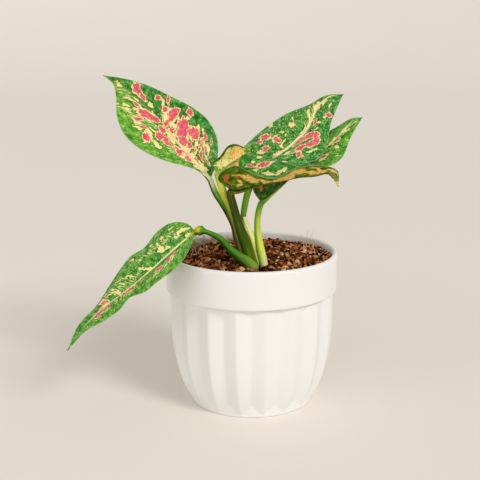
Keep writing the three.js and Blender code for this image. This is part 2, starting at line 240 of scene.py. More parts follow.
class Rail:
    """A smooth curve through points in mm, read with the share of the way along it."""

    def __init__(self, points):
        points = [Vector(point[:3]) * MM for point in points]
        self.points = [2 * points[0] - points[1], *points, 2 * points[-1] - points[-2]]

    def at(self, share):
        spans = len(self.points) - 3
        place = min(max(share, 0), 1) * spans
        first = min(int(place), spans - 1)
        before, start, end, after = self.points[first:first + 4]
        gap_before, gap, gap_after = (math.sqrt((b - a).length) for a, b in ((before, start), (start, end), (end, after)))
        leave = ((start - before) / gap_before - (end - before) / (gap_before + gap) + (end - start) / gap) * gap
        arrive = ((end - start) / gap - (after - start) / (gap + gap_after) + (after - end) / gap_after) * gap
        t = place - first
        return start + leave * t + (3 * (end - start) - 2 * leave - arrive) * t ** 2 + (2 * (start - end) + leave + arrive) * t ** 3

    def direction(self, share):
        step = 0.01
        return (self.at(share + step) - self.at(share - step)).normalized()


def placings(centres, radii):
    """A matrix for each section of a loft, carried along without twisting and scaled to its radius."""
    across = Vector((1, 0, 0))
    last = len(centres) - 1
    found = []
    for i, (centre, radius) in enumerate(zip(centres, radii)):
        along = (centres[min(i + 1, last)] - centres[max(i - 1, 0)]).normalized()
        across = (across - along * across.dot(along)).normalized()
        turn = Matrix((across, along.cross(across), along)).transposed().to_4x4()
        found.append(Matrix.Translation(centre) @ turn @ Matrix.Scale(radius, 4))
    return found


def start_layers(mesh):
    mesh.verts.layers.float.new("share")
    mesh.verts.layers.float_vector.new("round")


def loft(mesh, sections, sides, material):
    """Adds a closed round body through the sections. `share` keeps how far along it a vertex is, from 0 to 1, and
    `round` keeps its place in a section of radius 1, with its distance along in mm."""
    share = mesh.verts.layers.float["share"]
    place = mesh.verts.layers.float_vector["round"]
    distance = 0
    ring = bmesh.ops.create_circle(mesh, radius=1, segments=sides, matrix=sections[0])["verts"]
    for vertex in ring:
        vertex[place] = sections[0].inverted() @ vertex.co
    edges = list({edge for vertex in ring for edge in vertex.link_edges})
    ends = [list(edges)]
    made = set()
    for i, section in enumerate(sections[1:], 1):
        grown = bmesh.ops.extrude_edge_only(mesh, edges=edges)["geom"]
        ring = [item for item in grown if isinstance(item, bmesh.types.BMVert)]
        edges = [item for item in grown if isinstance(item, bmesh.types.BMEdge)]
        made.update(item for item in grown if isinstance(item, bmesh.types.BMFace))
        bmesh.ops.transform(mesh, matrix=section @ sections[i - 1].inverted(), verts=ring)
        distance += (section.translation - sections[i - 1].translation).length / MM
        for vertex in ring:
            vertex[share] = i / (len(sections) - 1)
            vertex[place] = section.inverted() @ vertex.co + UP * distance
    ends.append(edges)
    for end in ends:
        made.update(bmesh.ops.contextual_create(mesh, geom=end)["faces"])
    for face in made:
        face.material_index = material
    bmesh.ops.recalc_face_normals(mesh, faces=list(made))


# ---------------------------------------------------------------- the pot
POT_LOW, POT_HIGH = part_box("pot")
POT_HEIGHT = POT_HIGH[2] / MM
BAND_RADIUS = (POT_HIGH[0] - POT_LOW[0]) / 2 / MM
BAND_HEIGHT = 26
BAND_TAPER = 0.2
BAND_CHAMFER = 0.8
LIP_RADIUS = 1.8
BODY_RADIUS = 57.5
FOOT_RADIUS = 44
FOOT_HEIGHT = 1.6
FOOT_EASE = 0.8
BODY_POWER = 3.8
PLEATS = 18
PLEAT_DEPTH = 2.8
PLEAT_STEPS = 16                 # faces round one pleat
VALLEY_EASE = 0.13               # how softly a valley turns, as a share of a pleat
RUN_OUT_HEIGHT = 10              # below this a small shelf closes each pleat at the foot
RUN_OUT_SLOPE = 0.2
WALL_UNDER_BAND = 6
INNER_STEP_HEIGHT = 80
INNER_STEP_RISE = 8
FLOOR_THICKNESS = 5
FLOOR_FILLET = 4
SIDE_TOP = POT_HEIGHT - BAND_HEIGHT
INNER_RADIUS = BAND_RADIUS - 2 * LIP_RADIUS
INSIDE_HEIGHTS = (INNER_STEP_HEIGHT + INNER_STEP_RISE, INNER_STEP_HEIGHT, 60, 44, 30, 20, 12, 8)


def side_radius(height):
    share = min(max((SIDE_TOP - height) / (SIDE_TOP - FOOT_HEIGHT), 0), 1)
    return FOOT_RADIUS + (BODY_RADIUS - FOOT_RADIUS) * (1 - share ** BODY_POWER)


def inner_radius(height):
    if height <= INNER_STEP_HEIGHT:
        return side_radius(height) - WALL_UNDER_BAND
    share = min((height - INNER_STEP_HEIGHT) / INNER_STEP_RISE, 1)
    return blend(side_radius(INNER_STEP_HEIGHT) - WALL_UNDER_BAND, INNER_RADIUS - 0.6, share)


def pleat_depth(turn):
    """0 on a ridge, which is crisp, and 1 in a valley, which is soft. A valley faces the front."""
    off_valley = abs(2 * ((turn * PLEATS + 0.5) % 1) - 1)
    eased = math.hypot(off_valley, VALLEY_EASE) - VALLEY_EASE
    return 1 - eased / (math.hypot(1, VALLEY_EASE) - VALLEY_EASE)


def evenly(low, high, count):
    return [blend(low, high, i / count) for i in range(count + 1)]


def pot_finish():
    finish = Finish("matte warm white", roughness=0.5)
    place = finish.place()
    x, y, z = finish.axes(place)
    radius = finish.maths("SQRT", x * x + y * y)
    cloud = finish.noise(place, 28, 3)
    body = finish.mix(cloud, paint(238, 238, 237), paint(243, 243, 242))
    inside = finish.step(radius, 58.6 * MM, 57.2 * MM) * finish.step(z, 90 * MM, 94 * MM)
    grime = finish.noise(place, 260, 4, 0.65)
    left = finish.step(x, 20 * MM, -45 * MM)
    low = finish.step(z, 107 * MM, 100 * MM)
    dust = finish.step(grime + low * 0.35 + left * 0.3, 0.72, 1.05)
    wall = finish.mix(dust, paint(238, 234, 227), paint(166, 142, 116))
    colour = finish.mix(inside, body, wall)
    skin = finish.noise(place, 1500, 2)
    rough = 0.46 + cloud * 0.1 + dust * inside * 0.3
    return finish.finished(base_color=colour, roughness=rough, normal=finish.bump(skin, 0.12, 0.05 * MM))


def make_pot():
    foot = [(0, 0), (FOOT_RADIUS - FOOT_EASE, 0), (FOOT_RADIUS - 0.2, 0.25), (FOOT_RADIUS, FOOT_EASE), (FOOT_RADIUS, FOOT_HEIGHT)]
    heights = evenly(2, 16, 28)[:-1] + evenly(16, 34, 12)[:-1] + evenly(34, SIDE_TOP, 14)
    side = [(side_radius(height), height) for height in heights]
    under_band = BAND_RADIUS - BAND_TAPER - BAND_CHAMFER
    edge = [(under_band, SIDE_TOP)]
    for angle in evenly(0, math.pi / 2, 3):
        edge.append((under_band + BAND_CHAMFER * math.sin(angle), SIDE_TOP + BAND_CHAMFER * (1 - math.cos(angle))))
    band = [(BAND_RADIUS - BAND_TAPER * (1 - share), blend(SIDE_TOP + 2, POT_HEIGHT - LIP_RADIUS - 1, share)) for share in evenly(0, 1, 6)]
    lip = []
    for angle in evenly(0, math.pi, 12):
        lip.append((BAND_RADIUS - LIP_RADIUS * (1 - math.cos(angle)), POT_HEIGHT - LIP_RADIUS * (1 - math.sin(angle))))
    inside = [(inner_radius(height), height) for height in (POT_HEIGHT - 8, *INSIDE_HEIGHTS)]
    floor = [(inner_radius(FLOOR_THICKNESS) - FLOOR_FILLET, FLOOR_THICKNESS), (0, FLOOR_THICKNESS)]
    mesh = turned(foot + side + edge[1:] + band + lip + inside + floor, PLEATS * PLEAT_STEPS)
    for vertex in mesh.verts:
        height = vertex.co.z / MM
        radius = math.hypot(vertex.co.x, vertex.co.y) / MM
        if height <= FOOT_HEIGHT or height > SIDE_TOP or abs(radius - side_radius(height)) > 0.01:
            continue
        turn = math.atan2(vertex.co.x, -vertex.co.y) / (2 * math.pi) % 1
        shelf = FOOT_RADIUS + RUN_OUT_SLOPE * (height - FOOT_HEIGHT) if height < RUN_OUT_HEIGHT else 0
        pleated = max(radius - PLEAT_DEPTH * pleat_depth(turn), min(shelf, radius))
        vertex.co.x *= pleated / radius
        vertex.co.y *= pleated / radius
    pot = as_piece("pot_shell", mesh, [pot_finish()])
    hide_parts("pot")


# ---------------------------------------------------------------- the soil
SOIL_HEIGHT = 100.4
SOIL_MOUND = 1.6
SOIL_TILT = 0.03
SOIL_RADIUS = INNER_RADIUS - 0.9
BED_CELLS = 150                  # faces across the bed
BED_RELIEF = 1.5                 # height of its crumbs
CRUMBS = 3600
CRUMB_SIZES = (0.5, 2.1)         # radius
CHIPS = 1700
CHIP_LENGTHS = (2, 8.5)
STEM_PLACE = Vector((2, -21.5))
STEM_CLEARANCE = 9.5             # crumbs stay this far from the middle of the stalks' feet
GRAINS = [(37.8, 9.1, 1.2), (47.3, 2.9, 0.75), (21.3, -1.6, 0.7), (18.6, -8.4, 0.6),
          (-22, -20, 0.5), (-33, -9, 0.45), (26, 33, 0.5)]
GRAIN_LIFT = 2.1                 # how far a grain's middle stands above the bed, as a share of its radius
HAIRS = [  # where a loose fibre leaves the soil, where its end leans to, and how high it stands
    (37, 15, -2, 1, 15), (39, 18, 1, 2, 15), (41.6, 21, 3, 1, 14), (44, 4, -1, 2, 8), (43, 16, 4, 2, 9),
    (48, -2, 2, -3, 6),
    (-38, 6, 2, 1, 9), (-40, 9, -2, 2, 8), (-35, 12, 1, 3, 9), (-43, 2, 2, 2, 7),
]
HAIR_RADII = (0.32, 0.15)


def soil_top(x, y):
    """The soil's height in mm at a place in mm."""
    reach = math.hypot(x, y) / INNER_RADIUS
    return SOIL_HEIGHT + SOIL_TILT * x + SOIL_MOUND * (1 - reach * reach)


def crumble(x, y):
    rough = noise.fractal(Vector((x, y, 3)) * 0.16, 0.8, 2.1, 5)
    return soil_top(x, y) + BED_RELIEF * rough


def soil_colours(finish, value):
    return finish.ramp(
        value,
        (0.0, paint(18, 6, 2)), (0.26, paint(52, 22, 7)), (0.44, paint(112, 58, 22)),
        (0.62, paint(166, 96, 46)), (0.82, paint(200, 138, 84)), (1.0, paint(222, 178, 132)),
    )


def bed_finish():
    finish = Finish("damp potting mix", roughness=0.95, specular_ior_level=0.05)
    place = finish.place()
    lumps = finish.noise(place, 420, 5, 0.7)
    colour = soil_colours(finish, finish.step(lumps, 0.3, 0.95))
    return finish.finished(base_color=colour, normal=finish.bump(lumps, 0.8, 0.6 * MM))


def crumb_finish():
    finish = Finish("coir crumbs", roughness=0.9, specular_ior_level=0.08)
    place = finish.place()
    speckle = finish.noise(place, 1600, 3, 0.6)
    colour = soil_colours(finish, finish.attribute("tint") + (speckle - 0.5) * 0.5)
    return finish.finished(base_color=colour, normal=finish.bump(speckle, 0.6, 0.25 * MM))


def make_soil():
    mesh = bmesh.new()
    bmesh.ops.create_grid(mesh, x_segments=BED_CELLS, y_segments=BED_CELLS, size=1)
    for vertex in mesh.verts:
        x, y = vertex.co.x, vertex.co.y
        x, y = SOIL_RADIUS * x * math.sqrt(1 - y * y / 2), SOIL_RADIUS * y * math.sqrt(1 - x * x / 2)
        vertex.co = Vector((x, y, crumble(x, y))) * MM
    rim = [edge for edge in mesh.edges if edge.is_boundary]
    for height in (*INSIDE_HEIGHTS, FLOOR_THICKNESS + 0.3):
        grown = bmesh.ops.extrude_edge_only(mesh, edges=rim)["geom"]
        rim = [item for item in grown if isinstance(item, bmesh.types.BMEdge)]
        for vertex in (item for item in grown if isinstance(item, bmesh.types.BMVert)):
            flat = Vector((vertex.co.x, vertex.co.y, 0)).normalized() * (inner_radius(height) - 0.3) * MM
            vertex.co = flat + UP * height * MM
    bmesh.ops.contextual_create(mesh, geom=rim)
    bmesh.ops.recalc_face_normals(mesh, faces=mesh.faces)
    bed = as_piece("soil_bed", mesh, [bed_finish()])
    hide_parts("soil")


def scattered(draw, clearance):
    """A random place on the soil in mm, off the stalks' feet."""
    while True:
        angle = draw.uniform(0, 2 * math.pi)
        radius = (SOIL_RADIUS - clearance) * math.sqrt(draw.random())
        place = Vector((radius * math.cos(angle), radius * math.sin(angle)))
        if (place - STEM_PLACE).length > STEM_CLEARANCE:
            return place


def clump_tone(place):
    """Crumbs of one clump are about as dark as each other."""
    return 0.46 + 0.55 * noise.noise(Vector((place.x, place.y, 7)) * 0.22)


def any_turn(draw):
    return Matrix.Rotation(draw.uniform(0, 6.3), 4, "Z") @ Matrix.Rotation(draw.uniform(0, 6.3), 4, "X")


def make_crumbs():
    draw = random.Random(11)
    mesh = bmesh.new()
    tint = mesh.verts.layers.float.new("tint")
    for _ in range(CRUMBS):
        place = scattered(draw, 1.2)
        size = blend(*CRUMB_SIZES, draw.random() ** 2.2)
        height = crumble(place.x, place.y) + draw.uniform(-0.2, 0.75) * size
        stretch = Matrix.Diagonal((draw.uniform(0.7, 1.3), draw.uniform(0.6, 1.1), draw.uniform(0.5, 0.9), 1))
        where = Matrix.Translation(Vector((place.x, place.y, height)) * MM) @ any_turn(draw) @ stretch
        made = bmesh.ops.create_icosphere(mesh, subdivisions=1, radius=size * MM, matrix=where)["verts"]
        shade = min(max(draw.gauss(clump_tone(place), 0.27), 0), 1)
        centre = where.translation
        for vertex in made:
            vertex[tint] = shade
            vertex.co = centre + (vertex.co - centre) * draw.uniform(0.6, 1.4)
    crumbs = as_piece("soil_crumbs", mesh, [crumb_finish()], smooth=False)


def make_chips():
    """Coir chips and short bits of husk fibre that lie about on the soil."""
    draw = random.Random(23)
    mesh = bmesh.new()
    tint = mesh.verts.layers.float.new("tint")
    for _ in range(CHIPS):
        place = scattered(draw, 4)
        length = blend(*CHIP_LENGTHS, draw.random() ** 2)
        width = draw.uniform(0.25, 1.1)
        height = crumble(place.x, place.y) + draw.uniform(0, 0.9)
        turn = Matrix.Rotation(draw.uniform(0, 6.3), 4, "Z") @ Matrix.Rotation(draw.gauss(0, 0.35), 4, "Y")
        scale = Matrix.Diagonal((length, width, width * draw.uniform(0.4, 0.9), 1))
        where = Matrix.Translation(Vector((place.x, place.y, height)) * MM) @ turn @ scale
        made = bmesh.ops.create_icosphere(mesh, subdivisions=1, radius=0.5 * MM, matrix=where)["verts"]
        shade = min(max(draw.gauss(clump_tone(place) + 0.1, 0.22), 0), 1)
        for vertex in made:
            vertex[tint] = shade
    chips = as_piece("coir_chips", mesh, [bpy.data.materials["coir crumbs"]])


def make_grains():
    finish = Finish("white grains", roughness=0.7)
    place = finish.place()
    pits = finish.noise(place, 1500, 3)
    material = finish.finished(
        base_color=finish.mix(pits, paint(250, 248, 242), paint(222, 214, 200)), normal=finish.bump(pits, 0.5, 0.2 * MM)
    )
    mesh = bmesh.new()
    for x, y, size in GRAINS:
        centre = Vector((x, y, crumble(x, y) + GRAIN_LIFT * size)) * MM
        made = bmesh.ops.create_icosphere(mesh, subdivisions=3, radius=size * MM, matrix=Matrix.Translation(centre))["verts"]
        for vertex in made:
            lump = 1 + 0.3 * noise.noise((vertex.co - centre) / (size * MM) * 1.6 + Vector((x, y, 0)))
            vertex.co = centre + (vertex.co - centre) * lump
    grains = as_piece("white_grains", mesh, [material])


def make_hairs():
    finish = Finish("dry coir hairs", roughness=0.7)
    place = finish.place()
    streak = finish.noise(place, 300, 2)
    material = finish.finished(base_color=finish.mix(streak, paint(190, 158, 116), paint(240, 220, 186)))
    mesh = bmesh.new()
    start_layers(mesh)
    for x, y, lean_x, lean_y, height in HAIRS:
        foot = Vector((x, y, crumble(x, y) - 1))
        bow = Vector((lean_y, -lean_x, 0)) * 0.3
        rail = Rail([foot, foot + bow + UP * 0.5 * height, foot + Vector((lean_x, lean_y, height))])
        centres = [rail.at(share) for share in evenly(0, 1, 12)]
        radii = [blend(*HAIR_RADII, share) * MM for share in evenly(0, 1, 12)]
        loft(mesh, placings(centres, radii), 6, 0)
    hairs = as_piece("loose_hairs", mesh, [material])


# ---------------------------------------------------------------- the leaves' routes
# As in the part's source, in mm. A stalk's points end in its radius. `tones` says how yellow the green is by the midrib
# and at the margin, left half first. It is partly the leaf's own colour and partly painted light: a half that faces the
# light gets yellower, lighter greens. `light` lifts a whole blade's greens a little, as painted light for a blade that
# is lit more. `under` sets how light the lower side is, partly its own tone and partly painted shade for an underside
# that lies in shade. `flecks` says how many cream ones it has. A mark is (kind, share along, share across, half length,
# half width[, angle]): it lies along a side vein unless it has its own angle to the midrib, and left of the midrib its
# share across is negative.
VEIN_ANGLE = 42

LEAVES = {
    "lower_left": {
        "stalk": [
            (0.8, -29.5, 101, 4.7), (-4, -31, 106.8, 4), (-9, -32, 110.8, 3.3), (-14.2, -33, 115.5, 2.6),
            (-21, -34.3, 123.5, 2.1), (-29.5, -35.5, 128, 1.7), (-33.5, -36, 129, 2.6), (-36.5, -36, 128.5, 2.2),
        ],
        "midrib": [
            (-36.5, -36, 128.5), (-45, -40, 122.5), (-54.5, -46, 115), (-64, -50, 107), (-74, -54, 99),
            (-84, -57, 91.5), (-95, -59, 83.5), (-107, -61, 72), (-119.5, -62, 55),
        ],
        "left": [
            (-39, -45, 122), (-43, -56, 115.5), (-50, -62, 109), (-59, -65, 103), (-67.5, -67, 96.5),
            (-77.5, -65, 92), (-84, -69, 85), (-94, -68, 77.5), (-107, -64, 69),
        ],
        "right": [
            (-43.5, -31, 133), (-54, -29, 132.5), (-63.5, -30, 126), (-71, -34, 117), (-80, -36, 111.5),
            (-87.5, -41, 102.5), (-94, -46, 93), (-101.5, -52, 82), (-112, -58, 71.5),
        ],
        "tones": (0.25, 0.35, 0.2, 0.3),
        "light": 0.03,
        "rib": (0.75, 1.0),
        "rib_strength": 0.55,
        "under": 0.5,
        "flecks": 0.35,
        "marks": [
            ("stripes", 0.3, 0.5, 26, 4, 5), ("stripes", 0.62, 0.3, 28, 5, 3), ("stripes", 0.6, -0.4, 28, 4, 3),
            ("cream", 0.36, 0.5, 2.6, 0.9, 30), ("cream", 0.2, 0.75, 2.4, 0.8, 20), ("cream", 0.4, 0.1, 4, 0.8, 20),
            ("cream", 0.16, 0.34, 3.0, 0.7, 30), ("cream", 0.34, 0.7, 1.8, 0.8, 10), ("cream", 0.52, 0.25, 3, 0.9, 40),
            ("cream", 0.12, 0.53, 6.0, 1.5, 8), ("cream", 0.07, 0.15, 3.4, 1.2, 10),
            ("cream", 0.26, 0.6, 2.4, 0.8, 15), ("cream", 0.28, 0.28, 3.2, 2.0, 35),
            ("cream", 0.24, 0.2, 2.4, 0.8, 40), ("cream", 0.49, 0.78, 2.3, 1.0, 30),
            ("cream", 0.45, 0.28, 3.1, 0.8, 25), ("cream", 0.58, 0.48, 8.0, 0.7, 18),
            ("cream", 0.64, 0.15, 3.1, 1.3, 30), ("cream", 0.68, 0.35, 4.0, 0.7, 20),
            ("cream", 0.82, 0.0, 4.0, 0.8, 10), ("cream", 0.74, 0.05, 3.0, 1.2, 20),
            ("pink", 0.22, -0.32, 3.0, 0.9, 0), ("pink", 0.27, -0.36, 2.6, 1.2, 60),
            ("pink", 0.35, -0.4, 3.0, 1.2, 0), ("pink", 0.56, -0.26, 4.2, 1.9, 8),
            ("pink", 0.61, -0.22, 2.2, 1.4, -20), ("pink", 0.74, 0.3, 3.4, 1.4, 30),
            ("pink", 0.73, -0.08, 2.0, 1.4, -10), ("pink", 0.77, -0.1, 2.6, 1.8, 60),
            ("pink", 0.8, -0.22, 2.4, 1.3, 40), ("stripes", 0.65, -0.3, 14, 4, 8),
            ("stripes", 0.3, -0.45, 22, 4, 8),
        ],
    },
    "back_right": {
        "stalk": [
            (8.5, -22, 100, 3.1), (7, -21.5, 108, 3), (5.5, -21, 114.5, 2.9), (4, -19, 126, 2.3),
            (4, -17, 133, 2.1), (5, -14, 138.5, 2.1), (6.5, -10, 142.5, 2.1),
        ],
        "midrib": [
            (6.5, -10, 142.5), (10, -7, 145.5), (17, -1, 150), (26.5, 6, 157), (37, 13, 163.5),
            (47.5, 20, 171.5), (57.5, 26, 179.5), (67.5, 32, 188), (79.5, 38, 195.5),
        ],
        "left": [
            (8, 0, 152.5), (17.5, 11, 162.5), (30, 19, 172), (42, 26, 179.5), (52.5, 31, 185),
            (62, 35, 189.5), (71.5, 38, 194.5),
        ],
        "right": [
            (1, -19, 154.5), (6, -22, 161.5), (19, -16, 161.5), (35, -7, 162), (50, 2, 164.5),
            (62.5, 12, 169.5), (70.5, 25, 183.5),
        ],
        "tones": (0.35, 0.3, 0.4, 0.45),
        "rib": (0.9, 1.05),
        # painted shade: this underside lies in shade, so its green is made darker
        "under": -0.5,
        "flecks": 0.1,
        "marks": [
            ("stripes", 0.6, 0.2, 20, 6, 8),
            ("cream", 0.77, 0.08, 4.4, 2.4, 35), ("pink", 0.78, 0.1, 2.4, 1.1, 35),
            ("cream", 0.73, 0.05, 2.8, 1.5, 50), ("cream", 0.86, 0.15, 4.0, 1.0, 20),
            ("cream", 0.76, 0.42, 2.0, 1.0, 60), ("cream", 0.64, 0.48, 3.2, 1.8, 5),
            ("pink", 0.65, 0.42, 2.0, 1.2, 0), ("cream", 0.88, -0.2, 4, 0.8, 10), ("pink", 0.42, -0.4, 4, 2),
            ("pink", 0.3, 0.5, 3.5, 2), ("pink", 0.45, 0.5, 3.5, 1.6), ("cream", 0.3, -0.2, 3.5, 1.6),
            ("stripes", 0.8, 0, 14, 5, 0), ("rust", 0.17, 0.5, 3.7, 1.5, 45),
        ],
    },
    "front_right": {
        "stalk": [
            (0.3, -23.5, 101.5, 4.3), (-2.6, -25, 113.5, 3.9), (-4.9, -26, 120.5, 3.7), (-8, -27.3, 129.5, 3.2),
            (-10.4, -28, 138, 2.8), (-12.4, -29, 146, 2.6), (-13.8, -29.5, 151.5, 2.6), (-13.2, -30, 154.5, 2.6),
        ],
        "midrib": [
            (-13.2, -30, 154.5), (-7.5, -32, 156), (1, -36, 159), (10.5, -41, 162), (20.5, -46, 164.5),
            (30.5, -51, 167.5), (39.5, -56, 169), (48, -60, 171), (54, -62, 163),
        ],
        "left": [
            (-9, -24, 168), (-6.5, -19, 176.5), (4, -21, 176.5), (16, -27, 175), (27.5, -34, 174),
            (38, -43, 174.5), (48, -52, 173),
        ],
        "right": [
            (-21.8, -36.5, 163.8), (-10.5, -49, 174), (2, -58, 170), (14, -64, 168.5), (25.5, -67, 174.5),
            (37.5, -69, 177.5), (52, -68, 174.5),
        ],
        "tones": (0.25, 0.1, 0.3, 0.3),
        "rib": (0.5, 1.0),
        "under": 0.1,
        "flecks": 0.1,
        "marks": [
            ("pink", 0.38, -0.55, 4.0, 1.9, 30), ("pink", 0.29, -0.52, 2.8, 1.0, 0),
            ("cream", 0.32, -0.64, 1.8, 1.2, 40), ("cream", 0.38, -0.9, 2.6, 1.5, 45),
            ("cream", 0.45, -0.68, 4.2, 0.9, 40), ("cream", 0.55, -0.86, 2.6, 1.4, 50),
            ("cream", 0.41, -0.24, 4.0, 1.5, -20), ("cream", 0.5, -0.3, 4.5, 1.6, 30),
            ("cream", 0.32, -0.38, 2.0, 1.0, 5), ("cream", 0.93, 0.0, 6, 4, 0), ("stripes", 0.4, -0.6, 10, 4),
            ("rust", 0.15, 0.68, 3.5, 1.3, 65), ("rust", 0.12, 0.45, 3.1, 0.6, 50),
            ("rust", 0.2, 0.4, 1.5, 0.9, -75), ("gold", 0.16, 0.18, 1.6, 0.9, 15),
            ("gold", 0.19, 0.28, 1.3, 0.9, -75), ("gold", 0.22, 0.48, 3.4, 0.5, -45),
            ("gold", 0.27, 0.3, 4.7, 2.5, -50), ("gold", 0.37, 0.1, 5.7, 1.8, -40),
            ("gold", 0.49, 0.1, 8.8, 2.9, 50), ("gold", 0.58, 0.28, 8.6, 2.0, 60),
            ("gold", 0.65, 0.43, 2.9, 2.3, 5), ("gold", 0.74, 0.25, 7.1, 1.5, -10),
            ("gold", 0.64, 0.68, 2.8, 1.8, 50), ("gold", 0.76, 0.68, 2.2, 0.9, -25),
            ("gold", 0.79, 0.45, 3.8, 0.7, -50), ("straw", 0.87, 0.6, 3.1, 2.2, 5),
            ("straw", 0.98, 1.0, 1.7, 0.9, 20), ("straw", 0.73, 1.0, 7.5, 0.7, -25),
        ],
    },
    "upper_right": {
        "stalk": [
            (1, -14.5, 101, 3.1), (-2.2, -14, 110.5, 3), (-4.2, -13.5, 119, 2.6), (-6.2, -13, 126, 2.2), (-5.8, -12.6, 132.5, 2),
            (-4.5, -11.5, 141.5, 2.2), (-1.5, -9, 152.5, 2.3), (4.5, -7, 161, 2.2), (12.5, -6, 170.5, 2),
        ],
        "midrib": [
            (12.5, -6, 170.5), (18.5, 0, 174), (25.5, 8, 177.5), (32.5, 16, 182.5), (39, 24, 187),
            (44, 32, 193), (49, 40, 201), (56, 47, 207), (67, 54, 210.5),
        ],
        "left": [
            (-1, 9, 169.5), (-5.5, 16, 176), (0, 25, 181), (11.5, 35, 189.5), (26.5, 43, 198),
            (41.5, 47, 203.5), (54, 50, 210),
        ],
        "right": [
            (24.5, -11, 171), (34.5, -9, 169.5), (45, -1, 171), (51, 9, 176.5), (54, 19, 184.5),
            (56.5, 29, 193), (61.5, 41, 202),
        ],
        "tones": (0.1, 0.12, 0.05, 0.02),
        "rib": (0.8, 1.0),
        "drift": -2.4,
        "light": 0.02,
        "under": 0.4,
        "flecks": 0.65,
        "marks": [
            ("pink", 0.37, -0.7, 3.8, 2.5, 45), ("pink", 0.3, -0.68, 3.2, 1.3, 40),
            ("pink", 0.2, -0.47, 3.2, 1.7, 20), ("pink", 0.34, -0.38, 5.0, 1.4, 45),
            ("pink", 0.36, 0.07, 6.0, 1.9, 5), ("pink", 0.46, 0.2, 5.6, 2.0, 18),
            ("pink", 0.53, 0.42, 3.4, 2.3, 45), ("pink", 0.33, 0.38, 5.0, 1.8, 18),
            ("pink", 0.42, 0.47, 4.8, 2.2, 8), ("pink", 0.49, 0.55, 3.6, 2.4, -5),
            ("pink", 0.27, 0.62, 2.8, 1.9, -50), ("pink", 0.77, 0.68, 2.6, 1.5, 55),
            ("pink", 0.63, 0.1, 2.6, 1.4, 0), ("green", 0.41, 0.3, 6.0, 0.9, 12),
            ("cream", 0.15, -0.05, 4.0, 3.0, 20), ("cream", 0.18, 0.3, 5.0, 1.0, 20),
            ("cream", 0.16, -0.6, 4.0, 1.4, 60), ("cream", 0.52, -0.42, 3.2, 2.0, 40),
            ("cream", 0.43, -0.45, 2.3, 1.2, 50), ("cream", 0.63, -0.17, 4.4, 1.1, 20),
            ("cream", 0.76, -0.36, 4.6, 2.2, 20), ("cream", 0.68, -0.42, 2.6, 1.2, 40),
            ("cream", 0.5, -0.92, 3.0, 1.4, 35), ("cream", 0.32, -0.42, 4.2, 0.8, 30),
            ("cream", 0.5, -0.08, 5.0, 1.0, 12), ("cream", 0.84, 0.4, 2.0, 1.0, 0),
            ("cream", 0.73, 0.52, 2.4, 1.2, 20), ("cream", 0.38, 0.68, 4.4, 1.0, 15),
            ("cream", 0.82, -0.15, 4.0, 1.0, 20), ("cream", 0.25, -0.15, 3.0, 0.9, 60),
            ("stripes", 0.2, 0.45, 12, 5, 12), ("stripes", 0.65, -0.2, 22, 5, 10),
            ("lime", 0.28, -0.93, 7.9, 1.7, 30), ("cream", 0.3, -0.2, 6, 0.9, 14),
            ("cream", 0.36, -0.55, 2.6, 0.9, 40), ("cream", 0.58, -0.6, 2.4, 1.0, 30), ("cream", 0.28, 0.45, 4, 0.8, 20),
            ("cream", 0.58, 0.3, 3.4, 0.8, 30), ("cream", 0.66, 0.35, 2.6, 0.9, 40), ("cream", 0.4, -0.3, 2.4, 0.8, 30), ("lime", 0.22, -0.88, 2.2, 0.8, 20),
        ],
    },
    "upper_left": {
        "stalk": [
            (-4.5, -16.5, 104.5, 3.2), (-9.8, -15.7, 120, 2.8), (-12, -17, 128.5, 2.4), (-16, -19, 137.5, 2.2),
            (-20, -20, 144.5, 2.1), (-24, -20, 151, 2.1), (-27.5, -20, 160, 2),
        ],
        "midrib": [
            (-27.5, -20, 160), (-35, -18, 168.5), (-43, -14, 177), (-52.5, -9, 187), (-62, -3, 197.5),
            (-72, 2, 207.5), (-81.5, 7, 215), (-90.5, 11, 221), (-101.7, 14, 226.6),
        ],
        "left": [
            (-38, -21, 167.5), (-56.5, -22, 173), (-72.5, -22, 180.5), (-84, -18, 190), (-89.5, -11, 201.5),
            (-91, -2, 211.5), (-94, 8, 221),
        ],
        "right": [
            (-23, -15, 172.5), (-23, -8, 185), (-28.5, -2, 196.5), (-39, 4, 205), (-54.5, 8, 212.5),
            (-71, 11, 220), (-87.5, 13, 224.5),
        ],
        # painted light: the left half faces the light, so its greens are yellower and lighter, and the right half's are
        # darker
        "tones": (0.3, 0.7, 0.1, 0.08),
        "rib": (0.22, 0.55),
        "under": 0.6,
        "flecks": 0.0,
        "marks": [
            ("stripes", 0.6, -0.6, 20, 5, 5),
            ("pink", 0.77, 0.43, 3.8, 2.2, 45), ("pink", 0.73, 0.3, 2.2, 1.4),
            ("pink", 0.68, 0.18, 3.4, 1.1, 20), ("pink", 0.65, -0.25, 2.2, 1.5, 30),
            ("pink", 0.56, -0.2, 4.8, 3.6, 20), ("pink", 0.55, -0.5, 2.8, 1.2, 60),
            ("pink", 0.52, -0.08, 2.6, 2.2, 10), ("pink", 0.64, 0.58, 2.2, 1.6, 60),
            ("pink", 0.61, 0.78, 3.6, 1.0, 40), ("pink", 0.55, 0.35, 2.4, 1.7, 60),
            ("pink", 0.5, 0.39, 5.2, 2.4, 60), ("pink", 0.47, 0.1, 2.8, 1.3, 60),
            ("pink", 0.48, 0.78, 3.6, 1.5, 30), ("pink", 0.4, 0.33, 7.0, 2.8, 42),
            ("pink", 0.33, 0.13, 3.6, 2.4, 30), ("pink", 0.29, 0.2, 2.2, 1.1, 40),
            ("pink", 0.34, 0.47, 4.4, 2.6, 36), ("pink", 0.44, -0.12, 2.8, 2.0, -40),
            ("pink", 0.41, 0.08, 2.6, 1.2, 25), ("pink", 0.43, -0.62, 2.8, 2.2, -40),
            ("pink", 0.49, -0.52, 1.6, 1.2, 60), ("pink", 0.41, -0.3, 3.0, 2.0, -25),
